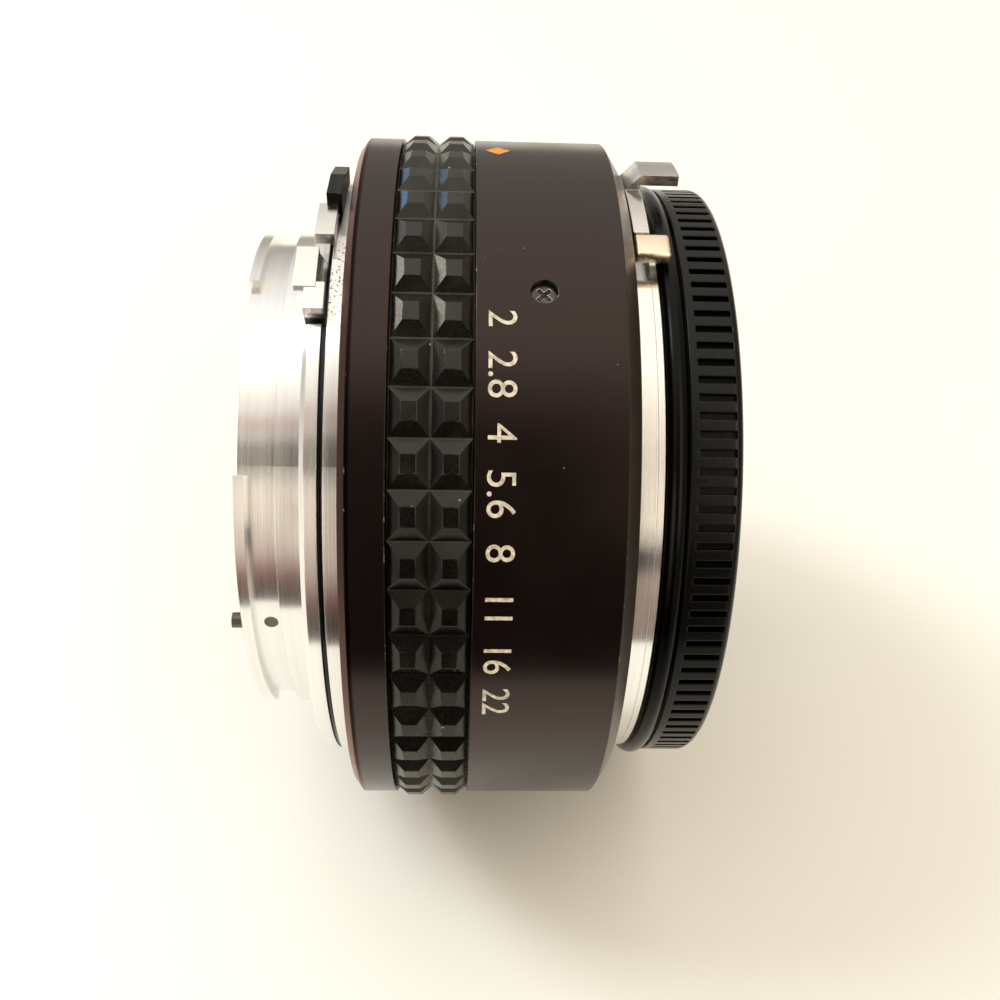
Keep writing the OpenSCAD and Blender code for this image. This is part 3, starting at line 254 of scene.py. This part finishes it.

# Coupling lugs and small pins: stampings of bright steel sheet, bent, with a grain along the
# sheet and rounded edges. The rear one and the front one reach out past the flanges, and the rear
# one's plate is painted near black inside its slot, as painted shade.


def rolled_steel(name):
    finish, tree, shader = new_finish(name)
    place = put(tree, "ShaderNodeTexCoord").outputs["Object"]
    grain_map = put(tree, "ShaderNodeMapping", {"Vector": place, "Scale": (900.0, 9000.0, 9000.0)})
    grain = put(tree, "ShaderNodeTexNoise", {"Vector": grain_map.outputs[0], "Scale": 1.0, "Detail": 3.0})
    edges = use_group(tree, broken_edges, Width=0.09 * MM, Rubbed=0.3)
    tone = blend_colour(tree, grain.outputs["Fac"], (0.76, 0.74, 0.71, 1), (0.90, 0.885, 0.86, 1))
    tree.links.new(tone, shader.inputs["Base Color"])
    tree.links.new(spread(tree, grain.outputs["Fac"], 0.3, 0.7, 0.14, 0.26), shader.inputs["Roughness"])
    tree.links.new(bump(tree, grain.outputs["Fac"], 0.4e-6, edges["Normal"]), shader.inputs["Normal"])
    shader.inputs["Metallic"].default_value = 1.0
    return finish, tree, tone, shader


sheet_steel, _, _, _ = rolled_steel("rolled_steel")
dress(sheet_steel, "front_lug", "stop_down_lever", "lock_pin")
plate_steel, plate_tree, plate_tone, plate_shader = rolled_steel("steel_with_slot_shade")
# Painted shade: the rear lug plate turns near black below 28 mm radius, where it sits in its slot.
SLOT_SHADE_FROM, SLOT_SHADE_TO = 28.3 * MM, 28.0 * MM
_, radius = axis_and_radius(plate_tree)
plate_slot_shade = spread(plate_tree, radius, SLOT_SHADE_FROM, SLOT_SHADE_TO)
plate_tree.links.new(
    blend_colour(plate_tree, plate_slot_shade, plate_tone, (0.03, 0.03, 0.033, 1)), plate_shader.inputs["Base Color"])
dress(plate_steel, "rear_lug_plate")

# Brass follower: a small milled block on the end of the front lug's arm, bare and a little dull,
# with tumbled edges.


def add_piece(name, mesh, finish, body):
    piece = bpy.data.objects.new(name, mesh)
    bpy.context.scene.collection.objects.link(piece)
    mesh.materials.append(finish)
    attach(piece, body)
    return piece


def form_mesh(form, name):
    mesh = bpy.data.meshes.new(name)
    form.to_mesh(mesh)
    form.free()
    return mesh


brass, brass_tree, brass_shader = new_finish("bare_brass")
tarnish = noise(brass_tree, 1500.0, 4.0)
edges = use_group(brass_tree, broken_edges, Width=0.12 * MM, Rubbed=0.3)
brass_tree.links.new(
    blend_colour(brass_tree, tarnish, (0.88, 0.72, 0.52, 1), (0.98, 0.88, 0.72, 1)),
    brass_shader.inputs["Base Color"])
brass_tree.links.new(spread(brass_tree, tarnish, 0.3, 0.7, 0.2, 0.38), brass_shader.inputs["Roughness"])
brass_tree.links.new(bump(brass_tree, tarnish, 2e-6, edges["Normal"]), brass_shader.inputs["Normal"])
brass_shader.inputs["Metallic"].default_value = 1.0
BLOCK_EDGE = 0.3 * MM
points = [point.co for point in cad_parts["brass_follower"].data.vertices]
stations = [point.x for point in points]
reaches = [math.hypot(point.y, point.z) for point in points]
turns = [math.atan2(point.z, -point.y) for point in points]
block_length, block_height = max(stations) - min(stations), max(reaches) - min(reaches)
block_width = (max(turns) - min(turns)) * min(reaches)
block_form = bmesh.new()
bmesh.ops.create_cube(block_form, size=1.0)
bmesh.ops.scale(block_form, vec=(block_length, block_width, block_height), verts=block_form.verts)
bmesh.ops.bevel(block_form, geom=block_form.edges[:], offset=BLOCK_EDGE, offset_type="OFFSET", segments=4,
                profile=0.5, affect="EDGES", clamp_overlap=True, material=-1)
block_centre = ((max(stations) + min(stations)) / 2, 0, (max(reaches) + min(reaches)) / 2)
bmesh.ops.translate(block_form, vec=block_centre, verts=block_form.verts)
bmesh.ops.rotate(block_form, cent=(0, 0, 0), verts=block_form.verts,
                 matrix=Matrix.Rotation((math.pi - max(turns) - min(turns)) / 2, 3, "X"))
bmesh.ops.recalc_face_normals(block_form, faces=block_form.faces)
for face in block_form.faces:
    face.smooth = True
brass_block = add_piece("brass_block", form_mesh(block_form, "brass_block"), brass, "coupling")
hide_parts("brass_follower")

# Screws, the black rear lug, the release knob and the stop-down pin: small turned steel pieces,
# blackened or dull, with bright metal where edges are rubbed, and painted shade, near black, down in the
# barrel screws' recesses.
black_steel, _, _ = turned_metal(
    "blackened_steel", (0.012, 0.012, 0.013, 1), (0.035, 0.034, 0.033, 1), (0.3, 0.46), edge=0.06 * MM,
    rubbed=0.48, rub_tone=(0.35, 0.34, 0.33, 1))
dress(black_steel, "camera_mount_screws", "lens_mount_screws", "cell_set_screws",
      "coupling_screws", "rear_black_lug", "release_knob")
worn_head, worn_tree, worn_shader = turned_metal(
    "worn_screw_head", (0.025, 0.025, 0.023, 1), (0.13, 0.125, 0.12, 1), (0.16, 0.34), edge=0.16 * MM,
    rubbed=0.62, rub_tone=(0.72, 0.68, 0.64, 1))
# Painted shade: the barrel screws turn near black below 31.2 mm radius, down in their recesses.
RECESS_SHADE_FROM, RECESS_SHADE_TO = 31.35 * MM, 31.2 * MM
_, radius = axis_and_radius(worn_tree)
recess_shade = spread(worn_tree, radius, RECESS_SHADE_FROM, RECESS_SHADE_TO)
head_tone = worn_shader.inputs["Base Color"].links[0].from_socket
worn_tree.links.new(
    blend_colour(worn_tree, recess_shade, head_tone, (0.004, 0.004, 0.004, 1)), worn_shader.inputs["Base Color"])
dress(worn_head, "barrel_screws")
dull_screw, _, _ = turned_metal(
    "dull_screw", (0.10, 0.09, 0.07, 1), (0.20, 0.18, 0.14, 1), (0.3, 0.45), edge=0.06 * MM)
dress(dull_screw, "bayonet_stop_screw", "stop_down_pin")

# Barrel and rear collar: turned aluminium tubes, fine-blasted and anodised black. The dye has
# turned a little violet-brown, dust lies on them, and bare metal shows in chips along the edges.
# The barrel's front chamfer and front face are coloured a paler brown, and the collar's rear chamfer reflects
# less.
satin_black, satin_tree, satin = new_finish("black_anodised")
blast = noise(satin_tree, 9000.0, 2.0)
haze = noise(satin_tree, 160.0, 3.0)
edges = use_group(satin_tree, broken_edges, Width=0.15 * MM, Patches=500.0, Rubbed=0.38)
dust = use_group(satin_tree, loose_dust, Cells=1000.0, Share=0.2, Size=0.08)
dye = blend_colour(satin_tree, haze, (0.0022, 0.0013, 0.0013, 1), (0.0044, 0.0026, 0.0026, 1))
station, _ = axis_and_radius(satin_tree)
# The barrel's front chamfer and face, past 24.9 mm along the axis, take a paler brown.
FRONT_FROM, FRONT_TO = 24.9 * MM, 25.05 * MM
front_paler_brown = spread(satin_tree, station, FRONT_FROM, FRONT_TO)
dye = blend_colour(satin_tree, front_paler_brown, dye, (0.024, 0.020, 0.014, 1))
dusty = calc(satin_tree, "MULTIPLY", dust["Mask"], 0.35)
dye = blend_colour(satin_tree, dusty, dye, (0.42, 0.38, 0.30, 1))
dye = blend_colour(satin_tree, edges["Mask"], dye, (0.55, 0.53, 0.50, 1))
satin_tree.links.new(dye, satin.inputs["Base Color"])
satin_tree.links.new(spread(satin_tree, haze, 0.3, 0.7, 0.21, 0.26), satin.inputs["Roughness"])
satin.inputs["Specular IOR Level"].default_value = 0.5
CHAMFER_FROM, CHAMFER_TO = 4.3 * MM, 4.1 * MM
reflection_dimming = spread(satin_tree, station, CHAMFER_FROM, CHAMFER_TO, 0.0, 0.85)
satin_tree.links.new(reflection_dimming, satin.inputs["Metallic"])
satin.inputs["Specular Tint"].default_value = (1.0, 0.74, 0.68, 1)
satin_tree.links.new(bump(satin_tree, blast, 1.6e-6, edges["Normal"]), satin.inputs["Normal"])
dress(satin_black, "rear_collar", "main_barrel")

# Figures and index mark: a plain scale engraved along the barrel and filled with cream paint, and
# an orange diamond above it. The paint stands a hair above the dyed surface.
BARREL_RADIUS = 32.0 * MM
ROLL = math.radians(41)
FIGURES = ("2", "2.8", "4", "5.6", "8", "11", "16", "22")
FIGURE_STATION, FIGURE_SIZE, FIGURE_START, FIGURE_END = 15.35 * MM, 3.1 * MM, 20.7, -35.2
PAINT_LIFT, PAINT_THICK = 0.012 * MM, 0.014 * MM


def wrap_round_barrel(mesh, turn_degrees, station):
    for point in mesh.vertices:
        along, up, lift = point.co
        turn = ROLL + math.radians(turn_degrees) - along / BARREL_RADIUS
        reach = BARREL_RADIUS + PAINT_LIFT + lift
        point.co = (station + up, -reach * math.cos(turn), reach * math.sin(turn))


def paint(name, low, high):
    finish, tree, shader = new_finish(name)
    wear = noise(tree, 2600.0, 4.0)
    tree.links.new(blend_colour(tree, spread(tree, wear, 0.35, 0.6), low, high), shader.inputs["Base Color"])
    tree.links.new(spread(tree, wear, 0.3, 0.7, 0.65, 0.5), shader.inputs["Roughness"])
    tree.links.new(bump(tree, wear, 4e-6), shader.inputs["Normal"])
    return finish


def only_points(parts):
    return [part for part in parts if isinstance(part, bmesh.types.BMVert)]


cream_paint = paint("cream_paint", (0.45, 0.40, 0.31, 1), (0.80, 0.74, 0.61, 1))
scale_form = bmesh.new()
for index, figure in enumerate(FIGURES):
    text = bpy.data.curves.new("figure", "FONT")
    text.body = figure
    text.size = FIGURE_SIZE
    text.extrude = PAINT_THICK
    text.align_x = "CENTER"
    text.align_y = "CENTER"
    carrier = bpy.data.objects.new("figure", text)
    flat = bpy.data.meshes.new_from_object(carrier)
    step = (FIGURE_END - FIGURE_START) / (len(FIGURES) - 1)
    wrap_round_barrel(flat, FIGURE_START + step * index, FIGURE_STATION)
    scale_form.from_mesh(flat)
    bpy.data.objects.remove(carrier)
    bpy.data.meshes.remove(flat)
bmesh.ops.remove_doubles(scale_form, verts=scale_form.verts, dist=1e-6)
bmesh.ops.recalc_face_normals(scale_form, faces=scale_form.faces)
add_piece("scale_figures", form_mesh(scale_form, "scale_figures"), cream_paint, "housing")

MARK_LENGTH, MARK_WIDTH, MARK_CORNER, MARK_TURN, MARK_STATION = 2.2 * MM, 2.6 * MM, 0.15 * MM, 60.5, 15.4 * MM
mark_form = bmesh.new()
bmesh.ops.create_circle(mark_form, cap_ends=True, radius=0.5, segments=4)
bmesh.ops.scale(mark_form, vec=(MARK_WIDTH, MARK_LENGTH, 1), verts=mark_form.verts)
bmesh.ops.bevel(mark_form, geom=mark_form.verts[:], offset=MARK_CORNER, offset_type="OFFSET", segments=3,
                profile=0.5, affect="VERTICES", material=-1)
raised = bmesh.ops.extrude_face_region(mark_form, geom=mark_form.faces[:])["geom"]
bmesh.ops.translate(mark_form, vec=(0, 0, PAINT_THICK), verts=only_points(raised))
bmesh.ops.recalc_face_normals(mark_form, faces=mark_form.faces)
mark_mesh = form_mesh(mark_form, "index_mark")
wrap_round_barrel(mark_mesh, MARK_TURN, MARK_STATION)
orange_paint = paint("orange_paint", (0.55, 0.20, 0.03, 1), (0.85, 0.36, 0.06, 1))
add_piece("index_mark", mark_mesh, orange_paint, "housing")

# Rubber grip: a moulded band of two rows of small pyramids with rounded tops, stretched into a
# seat between the collar and the barrel. Pale dust lies in its upper valleys, and its lower half
# carries painted shade through a higher metallic share.
GRIP_TEETH, GRIP_ROWS = 52, 2
TOP_RADIUS, VALLEY_RADIUS, SEAT_RADIUS, TOOTH_EDGE = 32.35 * MM, 31.62 * MM, 31.0 * MM, 0.07 * MM
TOP_SHARE = 0.38
grip_low, grip_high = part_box("rubber_grip")
row_length = (grip_high[0] - grip_low[0]) / GRIP_ROWS
tooth_turn = 2 * math.pi / GRIP_TEETH
band = bmesh.new()
bmesh.ops.create_grid(band, x_segments=1, y_segments=1, size=0.5)
bmesh.ops.inset_individual(band, faces=band.faces[:], thickness=(1 - TOP_SHARE) / 2, use_even_offset=True)
for point in band.verts:
    along, turn = point.co.x, point.co.y * tooth_turn
    reach = TOP_RADIUS if abs(along) < TOP_SHARE else VALLEY_RADIUS
    point.co = (grip_low[0] + (along + 0.5) * row_length, reach * math.sin(turn), -reach * math.cos(turn))
bmesh.ops.spin(band, geom=band.verts[:] + band.edges[:] + band.faces[:], cent=(0, 0, 0), axis=(1, 0, 0),
               angle=tooth_turn * (GRIP_TEETH - 1), steps=GRIP_TEETH - 1, use_duplicate=True)
second_row = bmesh.ops.duplicate(band, geom=band.verts[:] + band.edges[:] + band.faces[:])["geom"]
bmesh.ops.translate(band, vec=(row_length, 0, 0), verts=only_points(second_row))
bmesh.ops.remove_doubles(band, verts=band.verts, dist=1e-6)
bmesh.ops.recalc_face_normals(band, faces=band.faces)
between = (TOP_RADIUS + VALLEY_RADIUS) / 2
ridges = [edge for edge in band.edges
          if all(math.hypot(point.co.y, point.co.z) > between for point in edge.verts)]
bmesh.ops.bevel(band, geom=ridges, offset=TOOTH_EDGE, offset_type="OFFSET", segments=2, profile=0.5,
                affect="EDGES", clamp_overlap=True, material=-1)
rims = [edge for edge in band.edges if edge.is_boundary]
inner = bmesh.ops.extrude_edge_only(band, edges=rims)["geom"]
for point in only_points(inner):
    shrink = SEAT_RADIUS / math.hypot(point.co.y, point.co.z)
    point.co = (point.co.x, point.co.y * shrink, point.co.z * shrink)
bmesh.ops.bridge_loops(band, edges=[edge for edge in band.edges if edge.is_boundary])
bmesh.ops.recalc_face_normals(band, faces=band.faces)
for face in band.faces:
    face.smooth = True
SHARP_FROM = 28
grip_mesh = form_mesh(band, "grip_band")
grip_mesh.set_sharp_from_angle(angle=math.radians(SHARP_FROM))


def height_in(tree):
    place = put(tree, "ShaderNodeTexCoord").outputs["Object"]
    return put(tree, "ShaderNodeSeparateXYZ", {0: place}).outputs["Z"]


CLEAN_BELOW, DUSTY_ABOVE, SHADED_BELOW, UNSHADED_ABOVE = 14 * MM, 26 * MM, 15 * MM, 23 * MM
DUST_BED, DUST_TOP = VALLEY_RADIUS + 0.01 * MM, VALLEY_RADIUS + 0.06 * MM
rubber, rubber_tree, rubber_shader = new_finish("grip_rubber")
grain = noise(rubber_tree, 5000.0, 4.0)
smear = noise(rubber_tree, 420.0, 3.0)
_, radius = axis_and_radius(rubber_tree)
valley = spread(rubber_tree, radius, DUST_TOP, DUST_BED)
dust = use_group(rubber_tree, loose_dust, Cells=900.0, Share=0.2, Size=0.1)
gum = blend_colour(rubber_tree, grain, (0.0018, 0.0019, 0.0015, 1), (0.0052, 0.0052, 0.0042, 1))
smeared = spread(rubber_tree, smear, 0.5, 0.75, 0.0, 0.03)
gum = blend_colour(rubber_tree, smeared, gum, (0.30, 0.27, 0.22, 1))
height = height_in(rubber_tree)
upper = spread(rubber_tree, height, CLEAN_BELOW, DUSTY_ABOVE, 0.15, 1.0)
settled = calc(rubber_tree, "MULTIPLY", calc(rubber_tree, "MULTIPLY", valley, upper), smear)
gum = blend_colour(rubber_tree, settled, gum, (0.13, 0.12, 0.10, 1))
dusty = calc(rubber_tree, "MULTIPLY", dust["Mask"], 0.6)
gum = blend_colour(rubber_tree, dusty, gum, (0.50, 0.46, 0.38, 1))
# Painted shade: below 23 mm height the rubber's metallic share rises to 0.42, which darkens its lower part.
reflection_dimming = spread(rubber_tree, height, UNSHADED_ABOVE, SHADED_BELOW, 0.0, 0.42)
rubber_tree.links.new(reflection_dimming, rubber_shader.inputs["Metallic"])
rubber_tree.links.new(gum, rubber_shader.inputs["Base Color"])
rubber_tree.links.new(spread(rubber_tree, grain, 0.3, 0.7, 0.2, 0.3), rubber_shader.inputs["Roughness"])
rubber_shader.inputs["Specular IOR Level"].default_value = 0.5
rubber_shader.inputs["Specular Tint"].default_value = (1.0, 0.97, 0.86, 1)
rubber_tree.links.new(bump(rubber_tree, grain, 2e-6), rubber_shader.inputs["Normal"])
grip_band = add_piece("grip_band", grip_mesh, rubber, "housing")
flats_first = grip_band.modifiers.new("flats_first", "WEIGHTED_NORMAL")
flats_first.weight = 100
flats_first.keep_sharp = True
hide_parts("rubber_grip")

# Front cap: an injection-moulded plastic cap with a rounded bead and a slotted rim, which plugs
# into the lens bayonet. The bead is dull, and the underside and the floors of the slots seen at a slant carry
# painted shade.
plastic, plastic_tree, plastic_shader = new_finish("black_plastic")
grain = noise(plastic_tree, 3500.0, 4.0)
edges = use_group(plastic_tree, broken_edges, Width=0.2 * MM, Rubbed=0.35)
dust = use_group(plastic_tree, loose_dust, Cells=800.0, Share=0.12, Size=0.07)
shell = blend_colour(plastic_tree, grain, (0.0015, 0.0016, 0.0013, 1), (0.0036, 0.0038, 0.0031, 1))
dusty = calc(plastic_tree, "MULTIPLY", dust["Mask"], 0.4)
shell = blend_colour(plastic_tree, dusty, shell, (0.40, 0.38, 0.32, 1))
plastic_tree.links.new(shell, plastic_shader.inputs["Base Color"])
plastic_tree.links.new(spread(plastic_tree, grain, 0.3, 0.7, 0.2, 0.27), plastic_shader.inputs["Roughness"])
plastic_shader.inputs["Specular IOR Level"].default_value = 0.24
SLOT_FLOOR, BEAD_END, RIM_END, CAP_UNSHADED_ABOVE, CAP_SHADED_BELOW = 27.8 * MM, 30.33 * MM, 34.4 * MM, 16 * MM, 8 * MM
SOFT_STEP, CRISP_STEP = 0.1 * MM, 0.03 * MM
station, radius = axis_and_radius(plastic_tree)
# Painted shade: slot floors seen at a slant turn dark, standing in for the shadow of the slot walls.
facing = put(plastic_tree, "ShaderNodeLayerWeight", {"Blend": 0.5}).outputs["Facing"]
slot_floor_shade = spread(plastic_tree, facing, 0.03, 0.10, 0.4, 1.0)
for value, outside, inside in (
        (radius, SLOT_FLOOR + SOFT_STEP, SLOT_FLOOR), (station, BEAD_END, BEAD_END + CRISP_STEP),
        (station, RIM_END, RIM_END - SOFT_STEP)):
    slot_floor_shade = calc(plastic_tree, "MULTIPLY", slot_floor_shade, spread(plastic_tree, value, outside, inside))
on_bead = spread(plastic_tree, station, BEAD_END + CRISP_STEP, BEAD_END, 0.0, 0.5)
# Painted shade: the cap darkens towards its underside, below 16 mm height.
underside_shade = spread(plastic_tree, height_in(plastic_tree), CAP_UNSHADED_ABOVE, CAP_SHADED_BELOW, 0.0, 0.45)
reflection_dimming = calc(plastic_tree, "MAXIMUM", slot_floor_shade, calc(plastic_tree, "ADD", on_bead, underside_shade))
plastic_tree.links.new(reflection_dimming, plastic_shader.inputs["Metallic"])
plastic_tree.links.new(bump(plastic_tree, grain, 2e-6, edges["Normal"]), plastic_shader.inputs["Normal"])
dress(plastic, "front_cap")

# Table and light: a pale lacquered table top, a window of soft light at the upper left with a low
# lamp under it, and a room that is bright above and behind and dim towards the viewer, which the
# plated rings show.
floor_z = cad_box[0][2]
TABLE_FRONT, TABLE_BACK, TABLE_SIDE = -0.095, 3.0, 3.0
table_form = bmesh.new()
bmesh.ops.create_grid(table_form, x_segments=1, y_segments=1, size=0.5)
bmesh.ops.scale(table_form, vec=(2 * TABLE_SIDE, TABLE_BACK - TABLE_FRONT, 1), verts=table_form.verts)
bmesh.ops.translate(table_form, vec=(0, (TABLE_BACK + TABLE_FRONT) / 2, floor_z), verts=table_form.verts)
table = bpy.data.objects.new("table_top", form_mesh(table_form, "table_top"))
bpy.context.scene.collection.objects.link(table)
lacquer, lacquer_tree, lacquer_shader = new_finish("pale_lacquer")
cloud = noise(lacquer_tree, 9.0, 2.0)
pale = blend_colour(lacquer_tree, cloud, (0.945, 0.93, 0.875, 1), (0.945, 0.935, 0.885, 1))
lacquer_tree.links.new(pale, lacquer_shader.inputs["Base Color"])
lacquer_shader.inputs["Roughness"].default_value = 0.5
table.data.materials.append(lacquer)

WINDOW_TOWARDS, LAMP_TOWARDS = Vector((-0.83, 0.23, 1.0)), Vector((-0.80, 0.42, 0.42))
WINDOW_SIZES, LAMP_SIZES, LIGHT_DISTANCE = (0.3, 0.42), (0.38, 0.38), 1.2


def hang_light(name, shape, towards, sizes, power, colour):
    light = bpy.data.lights.new(name, "AREA")
    light.shape = shape
    light.size, light.size_y = sizes
    light.energy = power
    light.color = colour
    holder = bpy.data.objects.new(name, light)
    holder.location = towards.normalized() * LIGHT_DISTANCE
    holder.rotation_mode = "QUATERNION"
    holder.rotation_quaternion = towards.normalized().to_track_quat("Z", "Y")
    bpy.context.scene.collection.objects.link(holder)


hang_light("window_light", "RECTANGLE", WINDOW_TOWARDS, WINDOW_SIZES, 5.0, (0.84, 0.94, 1.0))
hang_light("low_light", "DISK", LAMP_TOWARDS, LAMP_SIZES, 2.8, (1.0, 0.93, 0.80))

room = bpy.data.worlds.new("room")
room.use_nodes = True
room_tree = room.node_tree
background = room_tree.nodes["Background"]
direction = put(room_tree, "ShaderNodeTexCoord").outputs["Generated"]
split = put(room_tree, "ShaderNodeSeparateXYZ", {0: direction})
forward = calc(room_tree, "MULTIPLY", split.outputs["Y"], -1.0)
tilt = calc(room_tree, "ARCTAN2", split.outputs["Z"], forward)
LOWEST, HIGHEST = -90, 180
tilt_share = spread(room_tree, tilt, math.radians(LOWEST), math.radians(HIGHEST))


def room_ramp(stops):
    made = put(room_tree, "ShaderNodeValToRGB", {"Fac": tilt_share})
    handles = made.color_ramp.elements
    while len(handles) < len(stops):
        handles.new(0.5)
    for handle, (degrees, _) in zip(handles, stops):
        handle.position = (degrees - LOWEST) / (HIGHEST - LOWEST)
    for handle, (_, colour) in zip(handles, stops):
        handle.color = (*colour, 1)
    return made.outputs["Color"]


towards_viewer = room_ramp([
    (-90, (0.02, 0.012, 0.010)), (0, (0.02, 0.012, 0.010)), (30, (0.03, 0.022, 0.02)),
    (46, (0.06, 0.05, 0.045)), (58, (0.28, 0.23, 0.21)), (68, (0.78, 0.72, 0.64)), (80, (1.35, 1.28, 1.14)),
    (105, (1.4, 1.33, 1.18)), (125, (1.25, 1.18, 1.06)), (150, (0.75, 0.7, 0.62)), (180, (0.36, 0.33, 0.29))])
on_the_left = room_ramp([
    (-90, (0.06, 0.03, 0.025)), (-22, (0.22, 0.11, 0.09)), (-12, (0.9, 0.5, 0.41)), (-4, (1.95, 1.5, 1.24)),
    (4, (2.65, 2.25, 1.85)), (30, (2.8, 2.4, 1.96)), (36, (1.9, 1.7, 1.43)), (40, (0.46, 0.42, 0.34)),
    (51, (0.44, 0.40, 0.32)), (55, (1.25, 1.12, 1.0)), (58, (1.35, 1.18, 1.05)), (60, (1.05, 0.66, 0.57)),
    (64, (1.05, 0.68, 0.60)), (67, (1.2, 1.14, 1.0)), (105, (1.25, 1.2, 1.08)), (126, (1.1, 1.06, 0.98)),
    (129, (0.50, 0.76, 1.15)), (135, (0.50, 0.76, 1.15)), (138, (0.95, 0.93, 0.88)),
    (180, (0.55, 0.53, 0.5))])
on_the_right = room_ramp([
    (-90, (0.08, 0.04, 0.035)), (-25, (1.15, 0.88, 0.70)), (-3, (1.35, 1.05, 0.86)), (3, (0.15, 0.15, 0.15)),
    (8, (0.15, 0.15, 0.15)), (12, (1.8, 1.58, 1.24)), (20, (3.3, 2.9, 2.3)), (60, (3.1, 2.74, 2.16)),
    (80, (1.6, 1.46, 1.2)), (105, (1.3, 1.18, 0.97)), (180, (0.5, 0.44, 0.34))])
FAR_LEFT, FAR_RIGHT = (0.42, 0.39, 0.35, 1), (0.42, 0.36, 0.28, 1)
LEFT_SIDE, LEFT_END, RIGHT_SIDE, RIGHT_END = (0.22, 0.40), (0.66, 0.86), (0.25, 0.34), (0.50, 0.72)
rightward = split.outputs["X"]
leftward = calc(room_tree, "MULTIPLY", rightward, -1.0)
sky = blend_colour(room_tree, spread(room_tree, leftward, *LEFT_SIDE), towards_viewer, on_the_left)
sky = blend_colour(room_tree, spread(room_tree, leftward, *LEFT_END), sky, FAR_LEFT)
sky = blend_colour(room_tree, spread(room_tree, rightward, *RIGHT_SIDE), sky, on_the_right)
sky = blend_colour(room_tree, spread(room_tree, rightward, *RIGHT_END), sky, FAR_RIGHT)
BLUE_TOWARDS, BLUE_FROM, BLUE_TO = Vector((-0.55, 0.83, 0.12)).normalized(), 0.993, 0.997
PANE_BLUE, PALE_WALL = (1.0, 2.2, 4.6, 1), (1.0, 0.997, 0.975, 1)
pane = put(room_tree, "ShaderNodeVectorMath", {0: direction, 1: BLUE_TOWARDS}, operation="DOT_PRODUCT")
blue = spread(room_tree, pane.outputs["Value"], BLUE_FROM, BLUE_TO)
sky = blend_colour(room_tree, blue, sky, PANE_BLUE)
path = put(room_tree, "ShaderNodeLightPath")
shown = blend_colour(room_tree, path.outputs["Is Camera Ray"], sky, PALE_WALL)
room_tree.links.new(shown, background.inputs["Color"])
bpy.context.scene.world = room

# Camera: a close view from the upper front, with the optical axis level in the frame.
SENSOR, FOCAL, SHIFT_UP, NEAREST = 36.0, 38.96, 0.00607, 0.005
CAMERA_PLACE = (12.25 * MM, -84.09 * MM, 73.10 * MM)
CAMERA_TURNS = (("X", 49), ("Y", -2.257), ("X", -1.945), ("Z", 0.811))
lens = bpy.data.cameras.new("camera")
lens.sensor_width = SENSOR
lens.lens = FOCAL
lens.shift_y = SHIFT_UP
lens.clip_start = NEAREST
camera = bpy.data.objects.new("camera", lens)
stand = Matrix.Translation(CAMERA_PLACE)
for axis, degrees in CAMERA_TURNS:
    stand = stand @ Matrix.Rotation(math.radians(degrees), 4, axis)
camera.matrix_world = stand
bpy.context.scene.collection.objects.link(camera)
bpy.context.scene.camera = camera
bpy.context.scene.view_settings.view_transform = "Standard"

bpy.context.view_layer.update()
